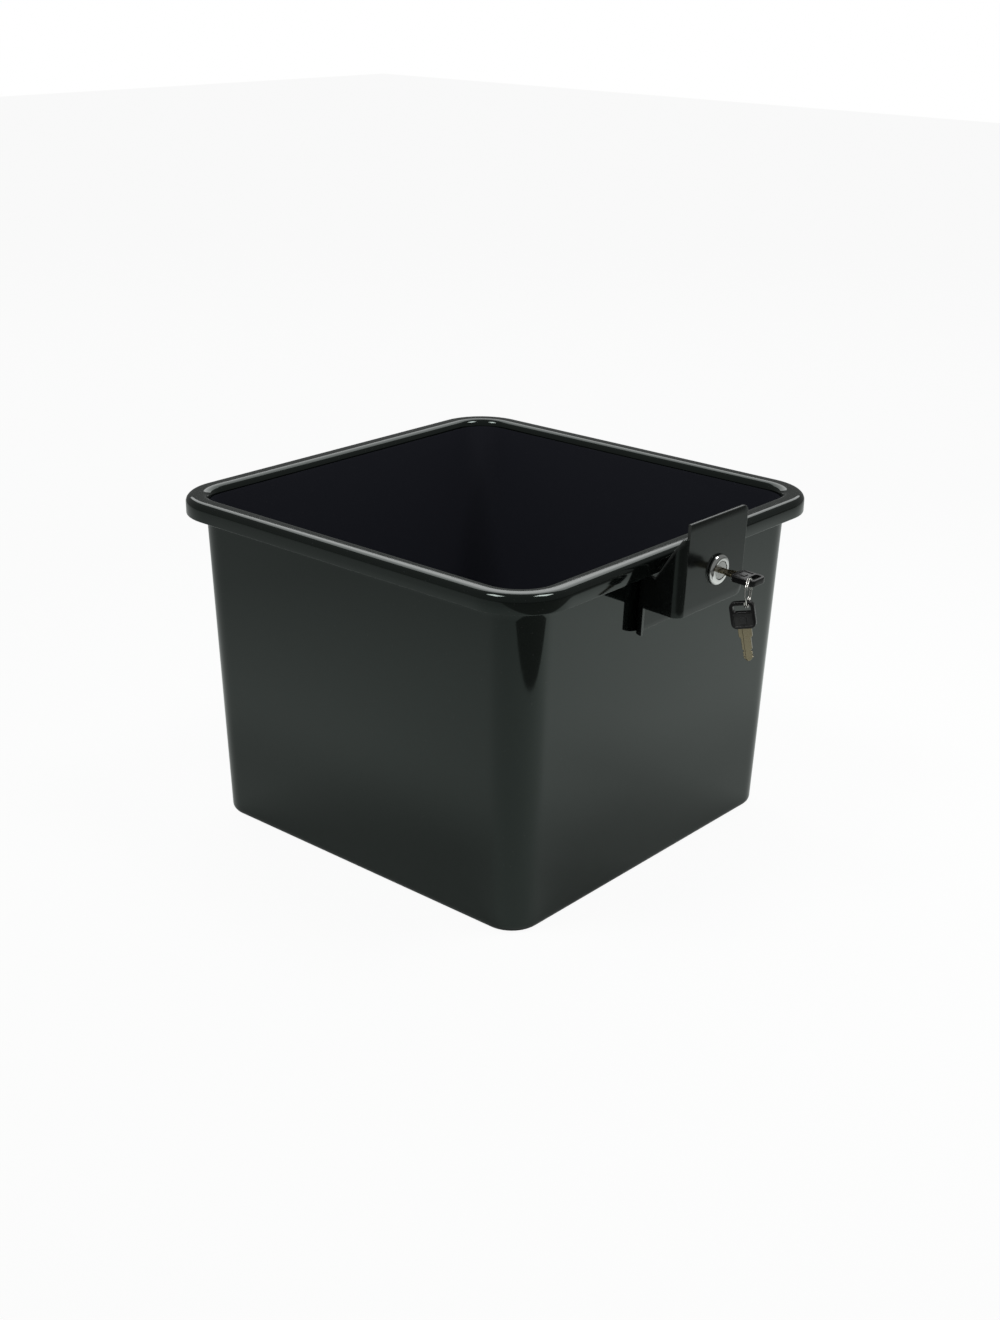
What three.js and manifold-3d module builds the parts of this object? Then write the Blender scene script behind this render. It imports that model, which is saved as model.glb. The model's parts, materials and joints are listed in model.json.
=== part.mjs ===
// A lockable lift-out cash tub: a moulded square tub with a turned-down rim, a folded steel
// bracket bolted to its front wall, and a cam lock in the bracket with two keys on a split ring.
// Millimetres, +Z up. The origin is the centre of the underside, and the lock faces -Y.
import * as THREE from "three";
import { mergeVertices } from "three/addons/utils/BufferGeometryUtils.js";
import Module from "manifold-3d";

const wasm = await Module();
wasm.setup();

// Room between two pieces that touch or run in each other.
const SEAT_GAP = 0.3;

// Tub.
const TUB_HEIGHT = 265;
const BASE_ACROSS = 314;
const DRAFT = THREE.MathUtils.degToRad(2.02);
const WALL = 3;
const FLOOR = 3;
const BASE_CORNER_RADIUS = 24;
const TOP_CORNER_RADIUS = 29;
const BASE_EDGE_RADIUS = 5;
const FLOOR_FILLET = 7;

// Rim: it stands out from the wall and turns down into a skirt.
const RIM_OVERHANG = 14.7;
const RIM_TOP_WIDTH = 12;
const RIM_THICKNESS = 3;
const SKIRT_DROP = 14;
const SKIRT_THICKNESS = 2.6;
const RIM_EDGE_RADIUS = 5.5;

// Bracket: one folded sheet, open towards +X. Heights count from the lock's axis.
const LOCK_BELOW_TOP = 15;
const SHEET = 2.5;
const BRACKET_DEPTH = 38;
const BRACKET_LEFT = 43.7;
const BRACKET_RIGHT = 33.4;
const BEND_RADIUS = 7;
const PLATE_CORNER_RADIUS = 6;
const PLATE_ABOVE_LOCK = 41;
const PLATE_BELOW_LOCK = 27;
const BACK_BELOW_LOCK = 48;
const FLANGE_TOP = 31;
const RIM_CLEARANCE = 1.2;

// Bolts through the tub's wall and the bracket's back plate.
const BOLT_DIAMETER = 5;
const BOLT_HEAD_DIAMETER = 10.5;
const BOLT_HEAD_HEIGHT = 2.8;
const BOLT_NUT_ACROSS_FLATS = 8;
const BOLT_NUT_HEIGHT = 4;
const BOLT_WASHER_DIAMETER = 12.5;
const BOLT_WASHER_THICKNESS = 1;
const BOLT_TAIL = 1.4;
const BOLT_XS = [-22, 18];
const BOLT_BELOW_LOCK = 28;

// Lock body.
const BARREL_DIAMETER = 19;
const BARREL_FLAT_DEPTH = 1;
const BARREL_LENGTH = 13.7;
const HEAD_OVERHANG = 1.75;
const HEAD_HEIGHT = 3.5;
const HEAD_RIM_HEIGHT = 1;
const LOCK_NUT_WALL = 2;
const LOCK_NUT_HEIGHT = 4;
const LOCK_WASHER_WIDTH = 3;
const LOCK_WASHER_THICKNESS = 1;

// Plug, and the wafers that lock it to the barrel.
const PLUG_DIAMETER = 11.8;
const PLUG_FACE_OVERHANG = 0.8;
const HEAD_FACE_WIDTH = 1.3;
const PLUG_FACE_THICKNESS = 1.5;
const PLUG_LENGTH = BARREL_LENGTH + SEAT_GAP;
const PLUG_TAIL_ACROSS = 7;
const KEYWAY_DEPTH = 15.5;
const WAFER_COUNT = 4;
const WAFER_PITCH = 2.4;
const FIRST_WAFER = 0.4;
const WAFER_THICKNESS = 0.8;
const WAFER_HEIGHT = 5;
const WAFER_RAIL = 0.8;
const WAFER_TRAVEL = 0.8;
const WINDOW_ROOM = { end: 0.2, side: 0.35 };
const WAFER_LUG = { left: 0.9, right: 2.2, top: 3.9 };
const SPRING_POCKET = { half: 3.5, top: 4.3 };
const SPRING_DIAMETER = 1;
const SPRING_WIRE = 0.24;
const SPRING_TURNS = 4;

// Pieces behind the plug.
const STOP_WASHER_DIAMETER = 16;
const STOP_WASHER_THICKNESS = 1;
const STOP_PEG = { inner: 7.9, outer: 9.2, width: 2.4, reach: 1.5 };
const LOCK_TURN = Math.PI / 2;
const CAM_THICKNESS = 2;
const CAM_WIDTH = 14;
const CAM_REACH = 21;
const CAM_CORNER_RADIUS = 3;
const SPRING_WASHER_DIAMETER = 9;
const SPRING_WASHER_THICKNESS = 0.8;
const CAM_SCREW_DIAMETER = 4;
const CAM_SCREW_HEAD_DIAMETER = 8;
const CAM_SCREW_HEAD_HEIGHT = 2;
const CAM_SCREW_LENGTH = 5.4;

// Keys: a flat blade moulded into a plastic bow.
const BLADE_LENGTH = 24;
const BLADE_THICKNESS = 1.8;
const BLADE_WIDTH = 7;
const SHOULDER_WIDTH = 9.6;
const SHOULDER_LENGTH = 7.3;
const TANG_WIDTH = 8;
const TANG_LENGTH = 9;
const BLADE_CUTS = [0.9, 0.4, 1.1, 0.6];
const BLADE_POINT = { length: 2.6, inset: 2.5 };
const BLADE_GROOVE = { offset: 1.3, width: 1, depth: 0.5 };
const BOW_WIDTH = 17.6;
const BOW_LENGTH = 19.5;
const BOW_THICKNESS = 4.5;
const BOW_CORNER_RADIUS = 4;
const BOW_EDGE = 0.5;
const BOW_BAR = 2.5;
const BOW_SLOT = { x: 12.6, y: 4.8, radius: 1.5 };
const BOW_RECESS = { x: 13, y: 8.4, depth: 0.6, boss: 4.6 };
const KEY_SHOWS = 12.5;

// Split ring, hung on the side bar of the first key's slot.
const RING_RADIUS = 10;
const RING_WIRE = 1;
const RING_PITCH = RING_WIRE + SEAT_GAP;
const RING_YAW = THREE.MathUtils.degToRad(23);
const RING_BEYOND_BAR = 4;
const RING_BELOW_BAR = 5.2;
const RING_FORWARD = 1.6;
const SPARE_KEY_OFFSET = 3.6;
const SPARE_KEY_ROOM = 1.3;
const SPARE_KEY_LEAN = THREE.MathUtils.degToRad(11);

const TUB_CORNER_SEGMENTS = 5;
const ARC_SEGMENTS = 10;
const ROUND_SEGMENTS = 32;

// Places worked out from the sizes above.
const halfOutside = (z) => BASE_ACROSS / 2 + Math.tan(DRAFT) * z;
const cornerRadius = (z) => THREE.MathUtils.lerp(BASE_CORNER_RADIUS, TOP_CORNER_RADIUS, z / TUB_HEIGHT);
const LOCK_HEIGHT = TUB_HEIGHT - LOCK_BELOW_TOP;
const PLATE_FRONT = halfOutside(LOCK_HEIGHT) + (SEAT_GAP + BRACKET_DEPTH) / Math.cos(DRAFT);
const RIM_HALF = halfOutside(TUB_HEIGHT) + RIM_OVERHANG;
const SKIRT_BOTTOM = TUB_HEIGHT - SKIRT_DROP;
const WALL_DEPTH = BRACKET_DEPTH + SEAT_GAP;
const UNDER_SKIRT = (SKIRT_BOTTOM - LOCK_HEIGHT) * Math.cos(DRAFT)
  - WALL_DEPTH * Math.sin(DRAFT) - RIM_CLEARANCE;
const SKIRT_DEPTH = (PLATE_FRONT - RIM_HALF) * Math.cos(DRAFT) - RIM_CLEARANCE;
const BARREL_ACROSS_FLATS = BARREL_DIAMETER - 2 * BARREL_FLAT_DEPTH;
const HEAD_DIAMETER = BARREL_DIAMETER + 2 * HEAD_OVERHANG;
const LOCK_NUT_ACROSS_FLATS = BARREL_DIAMETER + 2 * LOCK_NUT_WALL;
const LOCK_WASHER_DIAMETER = BARREL_DIAMETER + 2 * LOCK_WASHER_WIDTH;
const PLUG_FACE_DIAMETER = PLUG_DIAMETER + 2 * PLUG_FACE_OVERHANG;
const HEAD_FACE_DIAMETER = PLUG_FACE_DIAMETER + 2 * HEAD_FACE_WIDTH;
const WAFER_WINDOW = {
  x: BLADE_WIDTH / 2 + WAFER_TRAVEL + WINDOW_ROOM.end,
  z: BLADE_THICKNESS / 2 + WINDOW_ROOM.side,
};
const WAFER_HALF_LENGTH = WAFER_WINDOW.x + WAFER_RAIL;

// ---------- Solids ----------

function solid(geometry) {
  const bare = geometry.clone();
  bare.deleteAttribute("normal");
  bare.deleteAttribute("uv");
  const merged = mergeVertices(bare, 1e-4);
  const index = merged.index.array;
  const corners = [];
  for (let i = 0; i < index.length; i += 3) {
    const [a, b, c] = [index[i], index[i + 1], index[i + 2]];
    if (a !== b && b !== c && c !== a) corners.push(a, b, c);
  }
  const mesh = new wasm.Mesh({
    numProp: 3,
    vertProperties: new Float32Array(merged.attributes.position.array),
    triVerts: new Uint32Array(corners),
  });
  return new wasm.Manifold(mesh);
}

function geometryOf(manifold) {
  const mesh = manifold.getMesh();
  const geometry = new THREE.BufferGeometry();
  geometry.setAttribute("position", new THREE.BufferAttribute(new Float32Array(mesh.vertProperties), 3));
  geometry.setIndex(new THREE.BufferAttribute(new Uint32Array(mesh.triVerts), 1));
  geometry.computeVertexNormals();
  return geometry;
}

const join = (geometries) => geometries.map(solid).reduce((whole, piece) => whole.add(piece));

function cut(body, cutters) {
  const start = body instanceof THREE.BufferGeometry ? solid(body) : body;
  return cutters.reduce((whole, cutter) => whole.subtract(solid(cutter)), start);
}

function box(x0, x1, y0, y1, z0, z1) {
  const geometry = new THREE.BoxGeometry(x1 - x0, y1 - y0, z1 - z0);
  return geometry.translate((x0 + x1) / 2, (y0 + y1) / 2, (z0 + z1) / 2);
}

// A cylinder along Y, from y0 to y1.
function rod(diameter, y0, y1, x = 0, z = 0) {
  const geometry = new THREE.CylinderGeometry(diameter / 2, diameter / 2, y1 - y0, ROUND_SEGMENTS);
  return geometry.translate(x, (y0 + y1) / 2, z);
}

// A shape drawn in X and Z, as thick as y1 - y0.
function slab(shape, y0, y1) {
  const options = { depth: y1 - y0, bevelEnabled: false, curveSegments: ARC_SEGMENTS };
  return new THREE.ExtrudeGeometry(shape, options).rotateX(Math.PI / 2).translate(0, y1, 0);
}

// A shape drawn in Y and Z, from x0 to x1.
function crosswise(shape, x0, x1) {
  const geometry = new THREE.ExtrudeGeometry(shape, { depth: x1 - x0, bevelEnabled: false });
  const toX = new THREE.Matrix4().makeBasis(
    new THREE.Vector3(0, 1, 0), new THREE.Vector3(0, 0, 1), new THREE.Vector3(1, 0, 0));
  return geometry.applyMatrix4(toX).translate(x0, 0, 0);
}

// A shape turned about Y, from points that run up its outside.
function turned(points, segments = ROUND_SEGMENTS) {
  return new THREE.LatheGeometry(points.map(([r, y]) => new THREE.Vector2(r, y)), segments);
}

const closedRing = (points) => turned([...points, points[0]]);

function polygon(points) {
  return new THREE.Shape(points.map(([x, y]) => new THREE.Vector2(x, y)));
}

// A rectangle whose corners may have different radii: lower left, lower right, upper right, upper left.
function roundedRectangle(x0, x1, y0, y1, radii) {
  const [r0, r1, r2, r3] = Array.isArray(radii) ? radii : [radii, radii, radii, radii];
  const shape = new THREE.Shape();
  const corner = (x, y, r, start) => {
    if (r > 0) shape.absarc(x, y, r, start, start + Math.PI / 2, false);
    else if (shape.curves.length || shape.currentPoint.lengthSq()) shape.lineTo(x, y);
    else shape.moveTo(x, y);
  };
  corner(x1 - r1, y0 + r1, r1, -Math.PI / 2);
  corner(x1 - r2, y1 - r2, r2, 0);
  corner(x0 + r3, y1 - r3, r3, Math.PI / 2);
  corner(x0 + r0, y0 + r0, r0, Math.PI);
  return shape;
}

function disc(diameter, hole) {
  const shape = new THREE.Shape().absarc(0, 0, diameter / 2, 0, 2 * Math.PI);
  if (hole) shape.holes.push(hole);
  return shape;
}

const roundHole = (diameter) => new THREE.Path().absarc(0, 0, diameter / 2, 0, 2 * Math.PI, true);

function squareHole(across) {
  const h = across / 2;
  const corners = [[-h, -h], [-h, h], [h, h], [h, -h]];
  return new THREE.Path(corners.map(([x, y]) => new THREE.Vector2(x, y)));
}

function hexagon(acrossFlats) {
  const radius = acrossFlats / Math.sqrt(3);
  const angles = Array.from({ length: 6 }, (_, i) => (i + 0.5) * Math.PI / 3);
  return polygon(angles.map((a) => [radius * Math.cos(a), radius * Math.sin(a)]));
}

// A round outline with two flats, left and right.
function doubleFlat(diameter, acrossFlats) {
  const radius = diameter / 2;
  const reach = Math.acos(acrossFlats / diameter);
  const shape = new THREE.Shape();
  shape.absarc(0, 0, radius, reach, Math.PI - reach, false);
  shape.absarc(0, 0, radius, Math.PI + reach, 2 * Math.PI - reach, false);
  return shape;
}

// A rounded square carried up through levels, each with its own height, half width and corner radius.
function loft(levels) {
  const first = levels[0];
  const { half, radius } = first;
  const outline = roundedRectangle(-half, half, -half, half, radius);
  const last = levels.length - 1;
  const geometry = new THREE.ExtrudeGeometry(outline, {
    depth: last, steps: last, bevelEnabled: false, curveSegments: TUB_CORNER_SEGMENTS,
  });
  const spread = (value, level) => {
    const straight = Math.min(Math.abs(value), half - radius) / (half - radius);
    const beyond = Math.max(Math.abs(value) - (half - radius), 0) / radius;
    return Math.sign(value) * (straight * (level.half - level.radius) + beyond * level.radius);
  };
  const position = geometry.attributes.position;
  for (let i = 0; i < position.count; i += 1) {
    const level = levels[Math.round(position.getZ(i))];
    position.setXYZ(i, spread(position.getX(i), level), spread(position.getY(i), level), level.z);
  }
  return geometry;
}

// A quarter turn in equal steps, ends included.
const quarterTurn = (steps) => Array.from({ length: steps + 1 }, (_, i) => (i / steps) * Math.PI / 2);

// ---------- Materials and nodes ----------

function material(color, roughness, metalness) {
  return new THREE.MeshStandardMaterial({ color, roughness, metalness });
}

const mouldedPlastic = () => material(0x16181a, 0.16, 0);
const blackPaint = () => material(0x17191a, 0.3, 0.1);
const chrome = () => material(0xd9d9d6, 0.08, 1);
const dieCastZinc = () => material(0x9a9a98, 0.35, 1);
const platedSteel = () => material(0xb4b5b2, 0.3, 1);
const brass = () => material(0xc2a25a, 0.28, 1);
const springSteel = () => material(0x8d8f90, 0.3, 1);
const keyPlastic = () => material(0x141414, 0.5, 0);

function node(name, body, finish) {
  const geometry = body instanceof THREE.BufferGeometry ? body : geometryOf(body);
  const mesh = new THREE.Mesh(geometry, finish);
  mesh.name = name;
  return mesh;
}

// The bracket's frame: its origin is where the lock's axis meets the plate's front face, Y runs
// inwards along the lock's axis, and Z runs up along the leaning wall.
const lockSide = new THREE.Group();
lockSide.position.set(0, -PLATE_FRONT, LOCK_HEIGHT);
lockSide.rotation.x = DRAFT;
lockSide.updateMatrix();

// ---------- Tub ----------

function outsideOfTub() {
  const edge = quarterTurn(4).map((turn) => {
    const inset = BASE_EDGE_RADIUS * (1 - Math.sin(turn));
    const z = BASE_EDGE_RADIUS * (1 - Math.cos(turn));
    return { z, half: halfOutside(z) - inset, radius: cornerRadius(z) - inset };
  });
  const top = TUB_HEIGHT - RIM_THICKNESS / 2;
  return loft([...edge, { z: top, half: halfOutside(top), radius: cornerRadius(top) }]);
}

function insideOfTub() {
  const inner = (z) => ({ z, half: halfOutside(z) - WALL, radius: cornerRadius(z) - WALL });
  const fillet = quarterTurn(4).map((turn) => {
    const inset = FLOOR_FILLET * (1 - Math.sin(turn));
    const level = inner(FLOOR + FLOOR_FILLET * (1 - Math.cos(turn)));
    return { z: level.z, half: level.half - inset, radius: level.radius - inset };
  });
  const mouth = RIM_HALF - RIM_TOP_WIDTH;
  const roll = mouth - (halfOutside(TUB_HEIGHT) - WALL);
  const start = inner(TUB_HEIGHT - roll);
  const grown = mouth - start.half;
  const lip = quarterTurn(5).map((turn) => {
    const out = grown * (1 - Math.cos(turn));
    const z = TUB_HEIGHT - roll * (1 - Math.sin(turn));
    return { z, half: start.half + out, radius: start.radius + out };
  });
  const above = { ...lip[lip.length - 1], z: TUB_HEIGHT + RIM_THICKNESS };
  return loft([...fillet, ...lip, above]);
}

function rimAndSkirt() {
  const radius = TOP_CORNER_RADIUS + RIM_OVERHANG;
  const edge = quarterTurn(5).map((turn) => {
    const inset = RIM_EDGE_RADIUS * (1 - Math.cos(turn));
    const z = TUB_HEIGHT - RIM_EDGE_RADIUS * (1 - Math.sin(turn));
    return { z, half: RIM_HALF - inset, radius: radius - inset };
  });
  const outside = loft([{ z: SKIRT_BOTTOM, half: RIM_HALF, radius }, ...edge]);
  const hollow = { half: RIM_HALF - SKIRT_THICKNESS, radius: radius - SKIRT_THICKNESS };
  const hollowTop = TUB_HEIGHT - RIM_THICKNESS;
  const round = RIM_EDGE_RADIUS - SKIRT_THICKNESS;
  const underneath = loft([
    { z: SKIRT_BOTTOM - RIM_THICKNESS, ...hollow },
    ...quarterTurn(3).map((turn) => {
      const inset = round * (1 - Math.cos(turn));
      const z = hollowTop - round * (1 - Math.sin(turn));
      return { z, half: hollow.half - inset, radius: hollow.radius - inset };
    }),
  ]);
  return cut(outside, [underneath]);
}

function boltHole(x) {
  const [start, end] = [BRACKET_DEPTH - 2 * SHEET, WALL_DEPTH + 2 * WALL];
  return rod(BOLT_DIAMETER + 2 * SEAT_GAP, start, end, x, -BOLT_BELOW_LOCK);
}

function tub() {
  const shell = cut(rimAndSkirt().add(solid(outsideOfTub())), [insideOfTub()]);
  const holes = BOLT_XS.map((x) => boltHole(x).applyMatrix4(lockSide.matrix));
  return node("tub", cut(shell, holes), mouldedPlastic());
}

// ---------- Bracket ----------

// The folded sheet seen from above: front plate, left flange and back plate.
function foldedStrip() {
  const inner = BEND_RADIUS - SHEET;
  const bend = -BRACKET_LEFT + BEND_RADIUS;
  const strip = new THREE.Shape();
  strip.moveTo(bend, 0);
  strip.lineTo(BRACKET_RIGHT, 0);
  strip.lineTo(BRACKET_RIGHT, SHEET);
  strip.absarc(bend, BEND_RADIUS, inner, -Math.PI / 2, -Math.PI, true);
  strip.absarc(bend, BRACKET_DEPTH - BEND_RADIUS, inner, Math.PI, Math.PI / 2, true);
  strip.lineTo(BRACKET_RIGHT, BRACKET_DEPTH - SHEET);
  strip.lineTo(BRACKET_RIGHT, BRACKET_DEPTH);
  strip.absarc(bend, BRACKET_DEPTH - BEND_RADIUS, BEND_RADIUS, Math.PI / 2, Math.PI, false);
  strip.absarc(bend, BEND_RADIUS, BEND_RADIUS, Math.PI, 3 * Math.PI / 2, false);
  const height = BACK_BELOW_LOCK + PLATE_ABOVE_LOCK;
  const options = { depth: height, bevelEnabled: false, curveSegments: 8 };
  return new THREE.ExtrudeGeometry(strip, options).translate(0, 0, -BACK_BELOW_LOCK);
}

function lockBracket() {
  const left = -BRACKET_LEFT - 1;
  const corner = PLATE_CORNER_RADIUS;
  const backStarts = BRACKET_DEPTH - BEND_RADIUS;
  const front = slab(
    roundedRectangle(left, BRACKET_RIGHT, -PLATE_BELOW_LOCK, PLATE_ABOVE_LOCK, [0, corner, corner, 0]),
    -1, backStarts);
  const back = slab(
    roundedRectangle(left, BRACKET_RIGHT, -BACK_BELOW_LOCK, UNDER_SKIRT, [0, corner, corner, 0]),
    backStarts - 1, BRACKET_DEPTH + 1);
  const blank = solid(foldedStrip()).intersect(solid(front).add(solid(back)));
  const overTop = PLATE_ABOVE_LOCK + 1;
  const besideRim = polygon([
    [SHEET, FLANGE_TOP], [SKIRT_DEPTH, UNDER_SKIRT], [BRACKET_DEPTH + 1, UNDER_SKIRT],
    [BRACKET_DEPTH + 1, overTop], [SHEET, overTop],
  ]);
  const bendNotch = box(left, -BRACKET_LEFT + BEND_RADIUS, -1, BEND_RADIUS, FLANGE_TOP, overTop);
  const lockHole = doubleFlat(BARREL_DIAMETER + 2 * SEAT_GAP, BARREL_ACROSS_FLATS + 2 * SEAT_GAP);
  return node("lock_bracket", cut(blank, [
    crosswise(besideRim, left, BRACKET_RIGHT + 1),
    bendNotch,
    slab(lockHole, -1, SHEET + 1),
    ...BOLT_XS.map(boltHole),
  ]), blackPaint());
}

// ---------- Bracket bolts ----------

function bracketBolt(label, x) {
  const outside = BRACKET_DEPTH - SHEET - SEAT_GAP;
  const outerWasher = outside - BOLT_WASHER_THICKNESS;
  const nutInside = outerWasher - SEAT_GAP;
  const nutOutside = nutInside - BOLT_NUT_HEIGHT;
  const innerWasher = WALL_DEPTH + WALL + SEAT_GAP;
  const headSeat = innerWasher + BOLT_WASHER_THICKNESS + SEAT_GAP;
  const headEnd = headSeat + BOLT_HEAD_HEIGHT;
  const [shank, head] = [BOLT_DIAMETER / 2, BOLT_HEAD_DIAMETER / 2];
  const bolt = turned([
    [0, nutOutside - BOLT_TAIL],
    [shank - 0.5, nutOutside - BOLT_TAIL], [shank, nutOutside - BOLT_TAIL + 0.5],
    [shank, headSeat], [head, headSeat], [head, headSeat + 0.8],
    [head * 0.82, headSeat + 2.1], [head * 0.5, headEnd], [0, headEnd],
  ]);
  const socket = crossRecess(x, headEnd, 4.4, 1.1, 1.5);
  const hole = roundHole(BOLT_DIAMETER + 2 * SEAT_GAP);
  const washer = (y) => slab(disc(BOLT_WASHER_DIAMETER, hole), y, y + BOLT_WASHER_THICKNESS);
  const nut = hexagon(BOLT_NUT_ACROSS_FLATS);
  nut.holes.push(hole);
  const pieces = [
    node(`bracket_bolt_${label}`, cut(bolt.translate(x, 0, 0), socket), platedSteel()),
    node(`bolt_inner_washer_${label}`, washer(innerWasher).translate(x, 0, 0), platedSteel()),
    node(`bolt_outer_washer_${label}`, washer(outerWasher).translate(x, 0, 0), platedSteel()),
    node(`bolt_nut_${label}`, slab(nut, nutOutside, nutInside).translate(x, 0, 0), platedSteel()),
  ];
  pieces.forEach((piece) => { piece.position.z = -BOLT_BELOW_LOCK; });
  return pieces;
}

// The cutters of a cross recess in a screw head whose top is at y.
function crossRecess(x, y, across, slot, depth) {
  const [reach, half] = [across / 2, slot / 2];
  return [
    box(x - reach, x + reach, y - depth, y + 1, -half, half),
    box(x - half, x + half, y - depth, y + 1, -reach, reach),
  ];
}

// ---------- Lock ----------

function lockBarrel() {
  const [outer, head, face] = [BARREL_DIAMETER / 2, HEAD_DIAMETER / 2, HEAD_FACE_DIAMETER / 2];
  const bore = PLUG_DIAMETER / 2 + SEAT_GAP;
  const counterbore = PLUG_FACE_DIAMETER / 2 + SEAT_GAP;
  const ledge = -HEAD_HEIGHT + PLUG_FACE_THICKNESS + 2 * SEAT_GAP;
  const domeHeight = HEAD_HEIGHT - HEAD_RIM_HEIGHT - SEAT_GAP;
  const dome = quarterTurn(5).map((turn) => [
    face + (head - face) * Math.sin(turn),
    -HEAD_HEIGHT + domeHeight * (1 - Math.cos(turn)),
  ]);
  const body = closedRing([
    [counterbore, -HEAD_HEIGHT], ...dome, [head, -SEAT_GAP], [outer, -SEAT_GAP],
    [outer, BARREL_LENGTH], [bore, BARREL_LENGTH], [bore, ledge], [counterbore, ledge],
  ]);
  const [flat, far] = [BARREL_ACROSS_FLATS / 2, HEAD_DIAMETER];
  const flats = [
    box(flat, far, -SEAT_GAP, BARREL_LENGTH + 1, -far, far),
    box(-far, -flat, -SEAT_GAP, BARREL_LENGTH + 1, -far, far),
  ];
  const deep = WAFER_HALF_LENGTH + WAFER_TRAVEL + 3 * SEAT_GAP;
  const wide = WAFER_HEIGHT / 2 + SEAT_GAP;
  const grooveStart = FIRST_WAFER - WAFER_THICKNESS;
  const grooveEnd = FIRST_WAFER + (WAFER_COUNT - 1) * WAFER_PITCH + WAFER_THICKNESS;
  const grooves = [
    box(-deep, deep, grooveStart, grooveEnd, -wide, wide),
    box(-wide, wide, grooveStart, grooveEnd, -deep, deep),
  ];
  return node("lock_barrel", cut(body, [...flats, ...grooves, stopCutaway()]), chrome());
}

// The quarter of the barrel's end that is cut away, so that the stop peg turns between its ends.
function stopCutaway() {
  const half = Math.asin((STOP_PEG.width / 2 + SEAT_GAP) / STOP_PEG.inner);
  const from = -Math.PI / 2 - half;
  const to = from + LOCK_TURN + 2 * half;
  const sector = new THREE.Shape();
  sector.absarc(0, 0, STOP_PEG.inner - SEAT_GAP, to, from, true);
  sector.absarc(0, 0, BARREL_DIAMETER, from, to, false);
  return slab(sector, BARREL_LENGTH - STOP_PEG.reach - SEAT_GAP, BARREL_LENGTH + 1);
}

function lockNut() {
  const shape = hexagon(LOCK_NUT_ACROSS_FLATS);
  const seat = SHEET + 2 * SEAT_GAP + LOCK_WASHER_THICKNESS;
  shape.holes.push(roundHole(BARREL_DIAMETER + 2 * SEAT_GAP));
  return node("lock_nut", slab(shape, seat, seat + LOCK_NUT_HEIGHT), dieCastZinc());
}

function lockWasher() {
  const shape = disc(LOCK_WASHER_DIAMETER, roundHole(BARREL_DIAMETER + 2 * SEAT_GAP));
  const seat = SHEET + SEAT_GAP;
  return node("lock_washer", slab(shape, seat, seat + LOCK_WASHER_THICKNESS), platedSteel());
}

const waferPlace = (index) => FIRST_WAFER + index * WAFER_PITCH;
const waferIndexes = Array.from({ length: WAFER_COUNT }, (_, index) => index);

// Where the stop washer, the cam and the screw sit behind the plug.
const STOP_SEAT = PLUG_LENGTH + SEAT_GAP;
const CAM_SEAT = STOP_SEAT + STOP_WASHER_THICKNESS + SEAT_GAP;
const SPRING_WASHER_SEAT = CAM_SEAT + CAM_THICKNESS + SEAT_GAP;
const SCREW_SEAT = SPRING_WASHER_SEAT + SPRING_WASHER_THICKNESS + SEAT_GAP;
const TAIL_END = CAM_SEAT + CAM_THICKNESS - 0.1;

function lockPlug() {
  const [radius, face] = [PLUG_DIAMETER / 2, PLUG_FACE_DIAMETER / 2];
  const front = -HEAD_HEIGHT + 0.2;
  const step = front + PLUG_FACE_THICKNESS;
  const core = turned([
    [0, front], [face - 0.4, front], [face, front + 0.4], [face, step],
    [radius, step], [radius, PLUG_LENGTH], [0, PLUG_LENGTH],
  ]);
  const tail = PLUG_TAIL_ACROSS / 2;
  const body = join([core, box(-tail, tail, PLUG_LENGTH - 1, TAIL_END, -tail, tail)]);
  const keyHalf = BLADE_WIDTH / 2 + SEAT_GAP;
  const keyThick = BLADE_THICKNESS / 2 + SEAT_GAP;
  const keywayEnd = front + KEYWAY_DEPTH;
  const slotHalf = WAFER_THICKNESS / 2 + SEAT_GAP;
  const slotTall = WAFER_HEIGHT / 2 + SEAT_GAP;
  const slots = waferIndexes.map(waferPlace).flatMap((y) => [
    box(-PLUG_DIAMETER, PLUG_DIAMETER, y - slotHalf, y + slotHalf, -slotTall, slotTall),
    box(-SPRING_POCKET.half, SPRING_POCKET.half, y - slotHalf, y + slotHalf, 0, SPRING_POCKET.top),
  ]);
  return node("lock_plug", cut(body, [
    box(-keyHalf, keyHalf, front - 1, keywayEnd, -keyThick, keyThick),
    ...slots,
    rod(CAM_SCREW_DIAMETER + 2 * SEAT_GAP, SCREW_SEAT - CAM_SCREW_LENGTH - SEAT_GAP, TAIL_END + 1),
  ]), dieCastZinc());
}

// A flat wafer with a window for the blade, and a lug that its spring pushes on.
function wafer(index) {
  const half = WAFER_HEIGHT / 2;
  const { left, right, top } = WAFER_LUG;
  const shape = polygon([
    [-WAFER_HALF_LENGTH, -half], [WAFER_HALF_LENGTH, -half], [WAFER_HALF_LENGTH, half],
    [right, half], [right, top], [left, top], [left, half], [-WAFER_HALF_LENGTH, half],
  ]);
  const { x, z } = WAFER_WINDOW;
  const corners = [[-x, -z], [-x, z], [x, z], [x, -z]];
  shape.holes.push(new THREE.Path(corners.map(([a, b]) => new THREE.Vector2(a, b))));
  const y = waferPlace(index) - WAFER_THICKNESS / 2;
  return node(`wafer_${index + 1}`, slab(shape, y, y + WAFER_THICKNESS), brass());
}

class CoilCurve extends THREE.Curve {
  constructor(start, end, radius, turns) {
    super();
    Object.assign(this, { start, end, radius, turns });
  }

  getPoint(t, target = new THREE.Vector3()) {
    const angle = 2 * Math.PI * this.turns * t;
    const x = THREE.MathUtils.lerp(this.start, this.end, t);
    return target.set(x, this.radius * Math.cos(angle), this.radius * Math.sin(angle));
  }
}

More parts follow.
